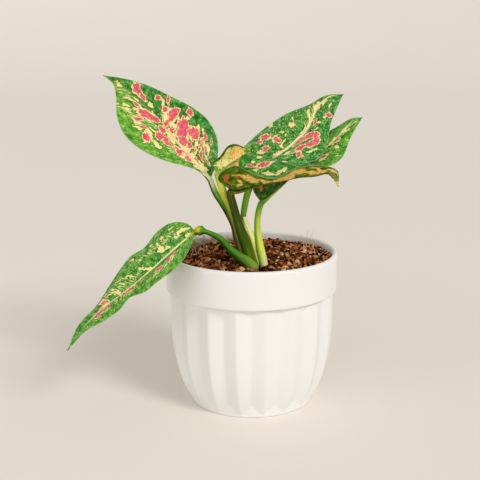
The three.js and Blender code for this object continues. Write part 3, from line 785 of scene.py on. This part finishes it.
            ("pink", 0.36, -0.27, 3.4, 1.8, -5), ("pink", 0.27, -0.22, 4.0, 1.9, 0),
            ("pink", 0.21, -0.2, 3.0, 1.3, -10), ("pink", 0.25, 0.27, 2.2, 0.9, 40),
            ("pink", 0.2, 0.34, 2.6, 0.8, 30), ("pink", 0.13, 0.52, 3.2, 0.8, 10),
            ("pink", 0.25, 0.8, 2.2, 0.7, 40), ("pink", 0.17, 0.3, 2.4, 0.7, 20),
            ("cream", 0.87, -0.15, 4.5, 1.6, -20), ("cream", 0.67, -0.6, 2.4, 1.2, 20),
            ("cream", 0.53, -0.55, 3.2, 0.9, 45), ("cream", 0.37, -0.57, 5.2, 1.2, 15),
            ("cream", 0.37, -0.1, 4.8, 1.3, -5), ("cream", 0.15, 0.05, 9.0, 1.7, -5),
            ("cream", 0.33, 0.7, 2.8, 0.8, 30), ("cream", 0.73, 0.16, 5.0, 0.8, 15),
            ("cream", 0.61, 0.15, 2.6, 1.2, 10), ("cream", 0.68, -0.12, 3.0, 0.8, 5),
            ("cream", 0.28, 0.05, 4.0, 1.1, 3), ("cream", 0.46, -0.35, 3.0, 0.8, 20),
            ("cream", 0.5, 0.25, 7, 2.4, 50), ("cream", 0.42, 0.1, 8, 2.2, 40),
            ("cream", 0.58, -0.3, 6, 2.4, 30), ("cream", 0.36, 0.3, 8, 2.0, 40), ("cream", 0.2, 0.0, 9, 3.0, 5),
            ("cream", 0.25, 0.3, 5, 1.2, 40), ("cream", 0.25, -0.3, 5, 1.2, 0), ("pink", 0.17, 0.08, 3, 1.0, 10),
            ("pink", 0.22, 0.55, 3.2, 0.7, 38), ("pink", 0.27, 0.5, 3.4, 0.8, 42), ("pink", 0.29, 0.66, 2.8, 0.7, 45),
            ("cream", 0.2, 0.62, 5, 0.8, 30), ("cream", 0.26, 0.58, 5, 0.7, 40), ("cream", 0.36, 0.66, 4, 0.8, 45),
            ("cream", 0.6, 0.5, 5, 0.9, 50), ("cream", 0.7, -0.35, 5, 1.1, 20), ("cream", 0.5, -0.62, 3, 1.0, 40),
            ("pink", 0.24, -0.06, 4, 0.9, 0),
            ("cream", 0.44, -0.5, 4, 2.0, -20), ("stripes", 0.78, -0.35, 11, 4.5, 8),
            ("stripes", 0.23, 0.5, 11, 5, 25), ("stripes", 0.3, -0.4, 13, 3, 8), ("stripes", 0.5, -0.3, 9, 4),
            ("stripes", 0.5, 0.2, 13, 4),
        ],
    },
    "young_centre": {
        "stalk": [
            (2.6, -19.3, 104, 2.5), (-6, -20.5, 117.5, 2.5), (-9, -21.5, 127, 2.4), (-12, -23, 135.5, 2.4),
            (-15, -24.5, 144, 2.6), (-18.5, -25, 152, 2.7), (-21, -24.5, 159.5, 2.4), (-23, -24, 165, 1.9),
        ],
        "midrib": [
            (-23, -24, 165), (-19, -20, 167.5), (-15, -15, 170), (-10.5, -10, 172), (-6.5, -5, 173.5),
            (-3, -1, 174.5), (0, 3, 175),
        ],
        "left": [(-17, -16, 162), (-11, -10, 163), (-6, -4, 165.5), (-2.5, 0, 169), (-0.5, 2, 172)],
        "right": [(-26, -26, 172), (-21, -21.5, 176), (-16, -17, 182), (-11.5, -11, 182.8), (-6, -4.5, 180.2)],
        "tones": (0.6, 0.5, 0.6, 0.5),
        "rib": (0.5, 1.0),
        "under": 1.0,
        "flecks": 0.4,
        "marks": [
            ("straw", 0.5, 0.73, 2.5, 1.6, -90), ("straw", 0.42, 0.35, 9, 5, 10),
            ("straw", 0.36, 0.38, 4, 2.2, 80), ("straw", 0.24, 0.48, 2, 0.9, -65),
            ("straw", 0.16, 0.62, 1.7, 0.8, -65), ("straw", 0.3, -0.3, 7, 3, 10),
            ("straw", 0.7, 0.6, 6, 3.4, 10), ("gold", 0.61, 0.28, 5.9, 5.1, 15),
            ("gold", 0.45, -0.45, 2.7, 1.8, -80), ("rust", 0.55, 0.43, 0.7, 0.6, -20),
            ("rust", 0.48, 0.4, 0.7, 0.4, -50), ("rust", 0.44, 0.18, 0.7, 0.4, -20),
            ("rust", 0.34, -0.07, 0.7, 0.5, 40), ("rust", 0.8, 0.75, 0.9, 0.4, 45),
            ("straw", 0.84, 0.58, 8.3, 0.5, 35),
        ],
    },
}

# ---------------------------------------------------------------- leaf meshes
BLADE_ROWS = 160
HALF_COLUMNS = 36
BLADE_THICKNESS = 0.55
MARGIN_THINNESS = 0.4            # share of the thickness left at the margin
BLADE_ARCH = 0.07
GROOVE_DEPTH = 0.45              # of the upper side along the midrib
GROOVE_WIDTH = 1.3
VEIN_SPACING = 6.5
QUILT_HEIGHT = 0.16              # how far the blade swells between its side veins
RIPPLE_HEIGHT = 0.35
MARK_WANDER = 1.3                # how far the marks' outlines stray
MARK_WANDER_SCALE = 3.5
STALK_STEPS = 60
STALK_SIDES = 24
STALK_SINK = 4
RIB_STEPS = 30
RIB_END = 0.93
RIB_START_SHARE = 0.9
RIB_FALL = 6                     # how early the rib thins out
RIB_TIP_RADIUS = 0.3
RIB_DEPTH = 1.1
RIB_SINK_END = 0.16              # the rib has sunk under the blade by here
DRIFT_LATENESS = 2.8
KNOB_PLACE = Vector((-34, -36, 129.2))
KNOB_REACH = 4.2
KNOB_SWELL = 0.5
MARK_KINDS = ("pink", "cream", "green", "lime", "stripes", "rust", "gold", "straw")


def mark_fields(marks, along, across, half_widths, length):
    """How strongly each kind of mark shows at a place in mm: 1 in its middle, 0.5 at its edge and less outside."""
    fields = dict.fromkeys(MARK_KINDS, -1.0)
    for kind, share, side, long, wide, *angle in marks:
        half_width = half_widths[0 if side < 0 else 1](share)
        lean = math.radians(angle[0] if angle else VEIN_ANGLE)
        if side < 0:
            lean = -lean
        x = along - share * length
        y = across - side * half_width
        over = (x * math.cos(lean) + y * math.sin(lean)) / long
        beside = (y * math.cos(lean) - x * math.sin(lean)) / wide
        fields[kind] = max(fields[kind], 1 - 0.5 * (over * over + beside * beside))
    return fields


class Blade:
    """One leaf's rails, and the blade's surface between them."""

    def __init__(self, leaf):
        ends = leaf["midrib"][0], leaf["midrib"][-1]
        self.midrib = Rail(leaf["midrib"])
        self.margins = [Rail([ends[0], *leaf[side], ends[1]]) for side in ("left", "right")]
        steps = [self.midrib.at(share) for share in evenly(0, 1, 40)]
        self.length = sum((b - a).length for a, b in zip(steps, steps[1:])) / MM
        self.half_widths = [lambda share, rail=rail: self.gap(rail, share) for rail in self.margins]
        self.drift = leaf.get("drift", 0)

    def gap(self, rail, share):
        return (rail.at(share) - self.midrib.at(share)).length / MM

    def off_rib(self, share, across):
        """The distance to the drawn midrib, which may run beside the line where the blade folds."""
        return across - self.drift * math.sin(math.pi * share ** DRIFT_LATENESS)

    def upward(self, share):
        inset = min(max(share, 0.03), 0.97)
        across = self.margins[1].at(inset) - self.margins[0].at(inset)
        return across.cross(self.midrib.direction(inset)).normalized()

    def row(self, share):
        return self.midrib.at(share), self.upward(share), [rail.at(share) for rail in self.margins]

    def point(self, share, side, row, seed):
        """The blade's middle surface, `side` being -1 at the left margin and 1 at the right one, with its distances in mm."""
        middle, up, margins = row
        margin = margins[0 if side < 0 else 1]
        width = (margin - middle).length / MM
        along = share * self.length
        across = side * width
        off_rib = self.off_rib(share, across)
        lean = math.radians(VEIN_ANGLE)
        over_veins = abs(off_rib) * math.cos(lean) - along * math.sin(lean)
        swell = math.sin(math.pi * abs(side))
        relief = BLADE_ARCH * width * swell
        relief -= GROOVE_DEPTH * (1 - share) * math.exp(-(off_rib / GROOVE_WIDTH) ** 2)
        relief -= QUILT_HEIGHT * min(swell * 1.6, 1) * math.cos(2 * math.pi * over_veins / VEIN_SPACING)
        relief += RIPPLE_HEIGHT * swell * noise.noise(Vector((along / 13, across / 9, seed)))
        return middle.lerp(margin, abs(side)) + up * relief * MM, along, across


def grow_blade(mesh, leaf, seed):
    """Adds the blade's upper surface, with its marks, its distances in mm and its thickness."""
    blade = Blade(leaf)
    places = mesh.loops.layers.uv.new("blade")
    share_of = mesh.verts.layers.float.new("share")
    edge_of = mesh.verts.layers.float.new("edge")
    rib_of = mesh.verts.layers.float.new("rib")
    light_of = mesh.verts.layers.float.new("light")
    upper = mesh.verts.layers.float_color.new("upper_marks")
    lower = mesh.verts.layers.float_color.new("lower_marks")
    thick = mesh.verts.layers.deform.verify()
    made = bmesh.ops.create_grid(mesh, x_segments=BLADE_ROWS, y_segments=2 * HALF_COLUMNS, size=0.5)["verts"]
    rows = {}
    spots = {}
    tones = leaf["tones"]
    for vertex in made:
        share = vertex.co.x + 0.5
        side = -2 * vertex.co.y
        key = round(share * BLADE_ROWS)
        if key not in rows:
            rows[key] = blade.row(share)
        vertex.co, along, across = blade.point(share, side, rows[key], seed)
        spots[vertex] = along + seed * 200, blade.off_rib(share, across)
        stray = MARK_WANDER * noise.noise_vector(Vector((along, across, seed * 9)) / MARK_WANDER_SCALE)
        fields = mark_fields(leaf["marks"], along + stray.x, across + stray.y, blade.half_widths, blade.length)
        # the tone is partly the leaf's own colour and partly painted light: a half that faces the light gets yellower,
        # lighter greens
        inner, margin = tones[:2] if side < 0 else tones[2:]
        tone = blend(inner, margin, smooth_step(abs(side), 0.15, 0.9))
        tone = max(tone, smooth_step(fields["lime"], 0.3, 0.6))
        slit = max(fields["green"] - 0.3, 0) * 3
        vertex[upper] = (fields["pink"] - slit, fields["cream"] - slit, tone, max(fields["stripes"], leaf["flecks"]))
        # the lower side's `under` number is partly its own tone and partly painted shade
        vertex[lower] = (fields["rust"], fields["gold"], leaf["under"], fields["straw"])
        vertex[share_of] = share
        vertex[rib_of] = leaf.get("rib_strength", 1) * (1 - smooth_step(share, *leaf["rib"]))
        # painted light: a blade that is lit more gets its greens lifted a little
        vertex[light_of] = leaf.get("light", 0)
        vertex[edge_of] = abs(side)
        vertex[thick][0] = blend(1, MARGIN_THINNESS, abs(side) ** 3)
    for face in {face for vertex in made for face in vertex.link_faces}:
        for corner in face.loops:
            corner[places].uv = spots[corner.vert]
    bmesh.ops.remove_doubles(mesh, verts=made, dist=0.02 * MM)
    return blade


def stalk_sections(leaf, blade):
    """The sections of a stalk, and of the rib that it runs on as under the blade."""
    rail = Rail(leaf["stalk"])
    girths = Rail([(i, radius, 0) for i, (_, _, _, radius) in enumerate(leaf["stalk"])])
    centres = [rail.at(0) - UP * STALK_SINK * MM]
    radii = [leaf["stalk"][0][3] * MM]
    for share in evenly(0, 1, STALK_STEPS)[:-1]:
        centres.append(rail.at(share))
        radii.append(girths.at(share).y)
    rib_radius = RIB_START_SHARE * leaf["stalk"][-1][3] * MM
    for share in evenly(0, 1, RIB_STEPS):
        radius = blend(RIB_TIP_RADIUS * MM, rib_radius, (1 - share) ** RIB_FALL)
        spot = share * RIB_END
        sink = RIB_DEPTH * radius * smooth_step(share, 0, RIB_SINK_END) + GROOVE_DEPTH * (1 - spot) * MM
        centres.append(blade.midrib.at(spot) - blade.upward(spot) * sink)
        radii.append(radius)
    return placings(centres, radii)


def swell_knob(mesh):
    """The lumpy joint where the lowest leaf bends down."""
    for vertex in mesh.verts:
        away = vertex.co / MM - KNOB_PLACE
        near = 1 - smooth_step(away.length, 0, KNOB_REACH)
        lump = 1 + 1.4 * noise.noise(away * 0.7) + 0.5 * smooth_step(away.z, 0, 2)
        vertex.co += away.normalized() * near * lump * KNOB_SWELL * 3 * MM


# ---------------------------------------------------------------- leaf finishes
class LeafFinish(Finish):
    """A leaf's finish, with noise that is drawn out along the side veins."""

    def __init__(self, name, **fixed):
        super().__init__(name, **fixed)
        x, y, _ = self.uv("blade")
        lean = math.radians(VEIN_ANGLE)
        self.across = abs(y)
        self.half = self.maths("SIGN", y) * 9
        self.along_vein = x * math.cos(lean) + self.across * math.sin(lean)
        self.over_vein = self.across * math.cos(lean) - x * math.sin(lean)

    def spread(self, over, along, shift):
        """Where the leaf lies in noise with this many waves to the mm over the veins and along them."""
        return self.vector(self.over_vein * over, self.along_vein * along, self.half + shift)

    def grain(self, over, along, shift, detail=2.0):
        return self.noise(self.spread(over, along, shift), 1, detail, 0.55)

    def patches(self, over, along, shift):
        """A steady chance value for each small cell of the leaf."""
        return self.axes(self.cells(self.spread(over, along, shift), 1, output=1))[0]


def leaf_upper_finish():
    finish = LeafFinish("leaf, upper side", roughness=0.4, specular_ior_level=0.18)
    share = finish.attribute("share")
    edge = finish.attribute("edge")
    rib_shows = finish.attribute("rib")
    pink_mark, cream_mark, tone, density = finish.channels("upper_marks")
    # painted light: the blade's `light` number lifts the greens of a blade that is lit more
    blots = finish.grain(0.34, 0.2, 0, 3) + finish.attribute("light")
    grit = finish.grain(1.3, 0.8, 3)
    clouds = finish.grain(0.12, 0.08, 12)
    cool = finish.ramp(
        blots, (0.3, paint(8, 80, 16)), (0.45, paint(26, 118, 36)), (0.58, paint(64, 152, 58)), (0.76, paint(130, 196, 104)),
    )
    warm = finish.ramp(
        blots, (0.3, paint(58, 132, 14)), (0.46, paint(106, 174, 34)), (0.6, paint(150, 206, 64)), (0.76, paint(184, 224, 104)),
    )
    # the tone is partly the leaf's own colour and partly painted light, yellower and lighter on a half that faces the
    # light
    green = finish.mix(tone, cool, warm)
    green = finish.mix(finish.step(grit, 0.48, 0.34) * 0.6, green, paint(10, 62, 14))
    sparks = finish.step(finish.grain(1.0, 0.42, 33) + density * 0.05, 0.62, 0.67) * finish.step(clouds, 0.42, 0.56)
    green = finish.mix(sparks * 0.8, green, paint(172, 208, 104))
    dotted = finish.spread(0.8, 0.55, 90)
    chance = finish.axes(finish.cells(dotted, 1, output=1))[0]
    dots = finish.step(finish.cells(dotted, 1), 0.34, 0.22) * finish.step(chance + density * 0.5, 0.7, 0.76)
    green = finish.mix(dots * 0.75, green, paint(186, 220, 134))

    ragged = (finish.grain(0.8, 0.42, 71, 3) - 0.5) * 1.7 + (finish.patches(0.75, 0.36, 80) - 0.5) * 0.4
    flecks = finish.step(finish.grain(0.95, 0.36, 38) + density * 0.07, 0.68, 0.72)
    threads = finish.step(finish.grain(1.2, 0.14, 57, 1.5) + density * 0.12, 0.66, 0.7) * finish.step(density, 0.66, 0.85)
    cream = finish.step(cream_mark + ragged, 0.42, 0.54)
    fringe = finish.step(pink_mark + ragged, 0.02, 0.13)
    halo = finish.step(finish.largest(pink_mark, cream_mark - 0.3) + ragged, -0.3, -0.05)
    green = finish.mix(halo * 0.75, green, paint(74, 96, 20))
    pale_share = finish.largest(finish.largest(cream, fringe), finish.largest(flecks, threads))
    pale = finish.ramp(
        finish.grain(0.9, 0.4, 45), (0.32, paint(206, 216, 100)), (0.46, paint(240, 234, 150)), (0.58, paint(248, 230, 168)),
        (0.7, paint(246, 186, 144)),
    )
    pink = finish.step(pink_mark + ragged, 0.42, 0.5)
    blush = finish.ramp(
        finish.grain(0.5, 0.25, 66, 3), (0.3, paint(206, 62, 84)), (0.45, paint(224, 84, 104)), (0.6, paint(234, 108, 122)),
        (0.75, paint(242, 158, 156)),
    )
    colour = finish.mix(pale_share, green, pale)
    colour = finish.mix(pink, colour, blush)
    rib_width = (0.35 + (1 - share) * 1.0) * (0.45 + rib_shows * 0.55)
    rib = finish.step(finish.across / rib_width + (grit - 0.5) * 0.9, 1.35, 0.7) * finish.step(share, 0.985, 0.93)
    rib_colour = finish.mix(finish.step(clouds, 0.44, 0.6), paint(240, 236, 170), paint(240, 196, 160))
    colour = finish.mix(rib * (rib_shows * 3) * 0.9, colour, rib_colour)
    colour = finish.mix(finish.step(edge + (grit - 0.5) * 0.04, 0.968, 0.99) * 0.6, colour, paint(146, 192, 118))
    height = grit * 0.4 + blots * 0.5 + pale_share * 0.12
    rough = 0.36 + grit * 0.16
    return finish.finished(base_color=colour, roughness=rough, normal=finish.bump(height, 0.4, 0.3 * MM))


def leaf_lower_finish():
    finish = LeafFinish("leaf, lower side", roughness=0.5, specular_ior_level=0.15)
    edge = finish.attribute("edge")
    rust_mark, gold_mark, under_tone_and_shade, straw_mark = finish.channels("lower_marks")
    pink_mark, cream_mark, _, _ = finish.channels("upper_marks")
    blots = finish.grain(0.34, 0.2, 1, 3)
    grit = finish.grain(1.3, 0.5, 5)
    dark = finish.ramp(
        blots + under_tone_and_shade * 0.2, (0.3, paint(12, 60, 2)), (0.46, paint(56, 96, 2)), (0.6, paint(98, 132, 8)),
        (0.76, paint(150, 172, 50)),
    )
    light = finish.ramp(blots, (0.34, paint(84, 132, 36)), (0.5, paint(122, 162, 62)), (0.68, paint(166, 196, 104)))
    # partly the underside's own tone and partly painted shade: a low number darkens an underside that lies in shade
    green = finish.mix(under_tone_and_shade, dark, light)
    ragged = (finish.grain(0.8, 0.38, 71, 3) - 0.5) * 1.7 + (finish.patches(0.75, 0.36, 80) - 0.5) * 0.4
    show = 0.3 + under_tone_and_shade * 0.5
    colour = finish.mix(finish.step(cream_mark + ragged, 0.4, 0.6) * show, green, paint(208, 196, 100))
    colour = finish.mix(finish.step(pink_mark + ragged, 0.4, 0.6) * show, colour, paint(212, 122, 76))
    gold = finish.ramp(
        finish.grain(0.8, 0.35, 45), (0.34, paint(228, 160, 48)), (0.48, paint(252, 200, 104)), (0.62, paint(255, 232, 156)),
    )
    straw = finish.mix(finish.step(blots, 0.35, 0.6), paint(224, 210, 108), paint(252, 236, 168))
    colour = finish.mix(finish.step(straw_mark + ragged, 0.36, 0.52), colour, straw)
    colour = finish.mix(finish.step(gold_mark + ragged, -0.1, 0.15) * 0.75, colour, paint(196, 184, 60))
    colour = finish.mix(finish.step(gold_mark + ragged, 0.28, 0.44), colour, gold)
    rust = finish.mix(grit, paint(196, 66, 34), paint(230, 130, 80))
    colour = finish.mix(finish.step(rust_mark + ragged, 0.42, 0.54), colour, rust)
    pale = finish.step(under_tone_and_shade, 0.7, 0.95)
    rim = finish.step(edge + pale * 0.07, 0.88, 0.95) * (0.35 + pale * 0.55)
    colour = finish.mix(rim, colour, paint(52, 78, 12))
    return finish.finished(base_color=colour, normal=finish.bump(grit * 0.4 + blots * 0.5, 0.35, 0.25 * MM))


def stalk_finish(name, stops, dark, shaded_side, streaks):
    """A stalk's colours along its length, from the soil to under the blade. Painted shade darkens the side away from
    the light, which is left at 180 degrees and in front at 270; its dark colour also draws the dark streaks, which run
    along it."""
    finish = Finish(f"stalk, {name}", roughness=0.42, specular_ior_level=0.15)
    x, y, distance = finish.vector_attribute("round")
    share = finish.attribute("share")
    fibres = finish.noise(finish.vector(x * 3.2, y * 3.2, distance * 0.05), 1, 3)
    flecks = finish.noise(finish.vector(x * 1.6, y * 1.6, distance * 0.22), 1, 2)
    colour = finish.ramp(share + (flecks - 0.5) * 0.06, *stops)
    turn = math.radians(shaded_side)
    toward_shade = x * math.cos(turn) + y * math.sin(turn)
    # painted shade: the side turned away from the light is darkened
    shaded = finish.step(toward_shade + (fibres - 0.5) * 1.4, 0.1, 0.75)
    colour = finish.mix(shaded * 0.9, colour, dark)
    colour = finish.mix(finish.step(fibres, 0.54, 0.7) * streaks, colour, paint(194, 212, 76))
    colour = finish.mix(finish.step(fibres, 0.46, 0.34) * streaks, colour, dark)
    rough = 0.36 + fibres * 0.14
    return finish.finished(base_color=colour, roughness=rough, normal=finish.bump(fibres, 0.25, 0.2 * MM))


RIB_COLOUR = paint(140, 164, 62)
STALK_LOOKS = {  # the colours along it, its dark colour for the painted shade and the dark streaks, the side where the shade is painted, and how streaky it is
    "lower_left": (
        [(0.05, paint(118, 156, 60)), (0.16, paint(78, 130, 28)), (0.4, paint(66, 136, 20)), (0.57, paint(88, 146, 16)),
         (0.61, paint(200, 196, 34)), (0.67, paint(186, 186, 44)), (0.72, RIB_COLOUR)],
        paint(22, 72, 4), 215, 0.22,
    ),
    "back_right": (
        [(0.05, paint(240, 242, 172)), (0.2, paint(230, 244, 104)), (0.42, paint(206, 234, 84)), (0.56, paint(140, 198, 60)),
         (0.66, paint(80, 140, 30)), (0.74, RIB_COLOUR)],
        paint(132, 178, 30), 190, 0.3,
    ),
    "front_right": (
        [(0.05, paint(84, 112, 10)), (0.2, paint(66, 90, 0)), (0.45, paint(54, 76, 0)), (0.6, paint(64, 82, 0)),
         (0.68, paint(116, 112, 20)), (0.74, paint(110, 114, 14)), (0.95, paint(104, 122, 14))],
        paint(26, 48, 0), 165, 0.16,
    ),
    "upper_right": (
        [(0.05, paint(240, 240, 176)), (0.31, paint(236, 238, 168)), (0.345, paint(136, 110, 50)), (0.37, paint(146, 206, 50)),
         (0.6, paint(138, 202, 54)), (0.72, RIB_COLOUR)],
        paint(86, 150, 16), 180, 0.35,
    ),
    "upper_left": (
        [(0.08, paint(206, 190, 128)), (0.26, paint(188, 178, 92)), (0.36, paint(70, 112, 16)), (0.46, paint(90, 164, 36)),
         (0.57, paint(120, 190, 70)), (0.63, paint(232, 238, 180)), (0.7, paint(226, 232, 168)), (0.78, RIB_COLOUR)],
        paint(16, 40, 4), 195, 0.28,
    ),
    "young_centre": (
        [(0.1, paint(130, 146, 24)), (0.35, paint(160, 174, 40)), (0.52, paint(214, 212, 78)), (0.72, RIB_COLOUR)],
        paint(96, 112, 8), 20, 0.35,
    ),
}


SHEATH_LEFT = [
    (-5.8, -19, 134.6), (-4.4, -20, 130), (-2.8, -20.5, 125.3), (-0.7, -21, 118.5), (1.6, -21.5, 110.2), (3.7, -22, 102.7),
    (4.5, -22, 99),
]
SHEATH_RIGHT = [
    (-4.1, -17, 134.5), (-2.1, -18, 130), (-0.1, -19, 125.3), (3.3, -19.5, 120.2), (5, -20, 110.5), (7.7, -21, 101.7),
    (8.2, -21, 99),
]
SHEATH_BULGE = 0.8
SHEATH_LENGTH = 36
SHEATH_THICKNESS = 0.4
SHEATH_PAINTED_LIGHT = 0.16               # painted light: the sheath glows by this much in its own colour, standing in for the light that comes through it


def make_leaves():
    upper = leaf_upper_finish()
    lower = leaf_lower_finish()
    for seed, (name, leaf) in enumerate(LEAVES.items(), 1):
        mesh = bmesh.new()
        blade = grow_blade(mesh, leaf, seed)
        skin = as_piece(f"{name}_blade", mesh, [upper, lower])
        skin.vertex_groups.new(name="thickness")
        solid = skin.modifiers.new("thickness", "SOLIDIFY")
        solid.thickness = BLADE_THICKNESS * MM
        solid.offset = 0
        solid.vertex_group = "thickness"
        solid.thickness_vertex_group = 0.05
        solid.material_offset = 1
        solid.use_quality_normals = True
        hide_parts(f"leaf_{name}")

        mesh = bmesh.new()
        start_layers(mesh)
        loft(mesh, stalk_sections(leaf, blade), STALK_SIDES, 0)
        if name == "lower_left":
            swell_knob(mesh)
        stalk = as_piece(f"{name}_stalk", mesh, [stalk_finish(name.replace("_", " "), *STALK_LOOKS[name])])
        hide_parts(f"leaf_{name}")


def sheath_finish():
    finish = Finish("papery sheath", roughness=0.45, specular_ior_level=0.2, emission_strength=SHEATH_PAINTED_LIGHT)
    x, y, distance = finish.vector_attribute("round")
    share = finish.attribute("share")
    fibres = finish.noise(finish.vector(x * 9, 0.5, distance * 0.08), 1, 3)
    colour = finish.ramp(
        share, (0.02, paint(244, 250, 160)), (0.2, paint(250, 254, 150)), (0.5, paint(244, 252, 124)),
        (0.9, paint(232, 240, 112)),
    )
    colour = finish.mix(finish.step(fibres, 0.52, 0.66) * 0.5, colour, paint(255, 252, 214))
    colour = finish.mix(finish.step(fibres, 0.46, 0.34) * 0.4, colour, paint(200, 206, 84))
    seam = finish.step(x + (fibres - 0.5) * 0.2, 0.26, 0.1) * finish.step(share, 0.25, 0.5)
    colour = finish.mix(seam * 0.8, colour, paint(196, 150, 100))
    # painted light: the sheath glows in its own colour
    return finish.finished(base_color=colour, emission_color=colour, normal=finish.bump(fibres, 0.3, 0.15 * MM))


def make_sheath():
    """The thin pale flap that wraps the foot of the upper right stalk."""
    left = Rail(SHEATH_LEFT)
    right = Rail(SHEATH_RIGHT)
    mesh = bmesh.new()
    start_layers(mesh)
    share_of = mesh.verts.layers.float["share"]
    place_of = mesh.verts.layers.float_vector["round"]
    made = bmesh.ops.create_grid(mesh, x_segments=60, y_segments=12, size=0.5)["verts"]
    for vertex in made:
        share = vertex.co.x + 0.5
        side = 0.5 - vertex.co.y
        bulge = Vector((0, -SHEATH_BULGE, 0)) * math.sin(math.pi * side) * smooth_step(share, 0, 0.2)
        vertex.co = left.at(share).lerp(right.at(share), side) + bulge * MM
        vertex[share_of] = share
        vertex[place_of] = Vector((side, 0, share * SHEATH_LENGTH))
    sheath = as_piece("upper_right_sheath", mesh, [sheath_finish()])
    solid = sheath.modifiers.new("thickness", "SOLIDIFY")
    solid.thickness = SHEATH_THICKNESS * MM
    solid.offset = 0
    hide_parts("leaf_upper_right")


def make_stem():
    """The buried stem keeps its solid and gets its skin."""
    finish = Finish("buried stem", roughness=0.5)
    place = finish.place()
    rings = finish.noise(place, 140, 3)
    material = finish.finished(base_color=finish.mix(rings, paint(150, 158, 84), paint(196, 194, 130)), normal=finish.bump(rings, 0.3, 0.3 * MM))
    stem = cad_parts["stem"]
    for slot in stem.material_slots:
        slot.material = material


# ---------------------------------------------------------------- floor and light
FLOOR_RADIUS = 2.5
FLOOR_RIM_RADIUS = 6
FLOOR_RIM_HEIGHT = 1.6


def make_floor():
    """A pale floor that rises all round, far away, like a studio sweep."""
    finish = Finish("pale floor", roughness=0.85, specular_ior_level=0.2)
    tone = finish.noise(finish.place(), 3, 2)
    material = finish.finished(base_color=finish.mix(tone, paint(240, 233, 224), paint(243, 236, 227)))
    profile = [(0, 0), (FLOOR_RADIUS / MM, 0)]
    for share in evenly(0, 1, 24)[1:]:
        profile.append((blend(FLOOR_RADIUS, FLOOR_RIM_RADIUS, share) / MM, FLOOR_RIM_HEIGHT / MM * share ** 2.2))
    mesh = turned(profile, 96)
    data = bpy.data.meshes.new("floor")
    mesh.to_mesh(data)
    mesh.free()
    data.shade_smooth()
    data.materials.append(material)
    floor = bpy.data.objects.new("floor", data)
    bpy.context.scene.collection.objects.link(floor)


def make_light(name, kind, place, energy, colour, spread):
    lamp = bpy.data.lights.new(name, kind)
    lamp.energy = energy
    lamp.color = colour
    if kind == "SUN":
        lamp.angle = spread
    else:
        lamp.size = spread
    light = bpy.data.objects.new(name, lamp)
    light.location = place
    light.rotation_euler = Vector(place).to_track_quat("Z", "Y").to_euler()
    bpy.context.scene.collection.objects.link(light)


def make_studio():
    make_floor()
    make_light("key", "SUN", (0.9, -0.95, 0.95), 1.36, (1.0, 0.98, 0.965), math.radians(20))
    make_light("front", "AREA", (-0.5, -2.2, 0.95), 5, (1.0, 0.985, 0.975), 1.2)
    make_light("left fill", "AREA", (-2.0, -1.7, 1.0), 6.5, (1.0, 0.99, 0.99), 1.6)
    world = bpy.data.worlds.new("studio")
    world.use_nodes = True
    sky = world.node_tree.nodes["Background"]
    sky.inputs["Color"].default_value = paint(238, 235, 232)
    sky.inputs["Strength"].default_value = 0.63
    bpy.context.scene.world = world
    bpy.context.scene.view_settings.view_transform = "Standard"


make_pot()
make_soil()
make_crumbs()
make_chips()
make_grains()
make_hairs()
make_leaves()
make_sheath()
make_stem()
make_studio()
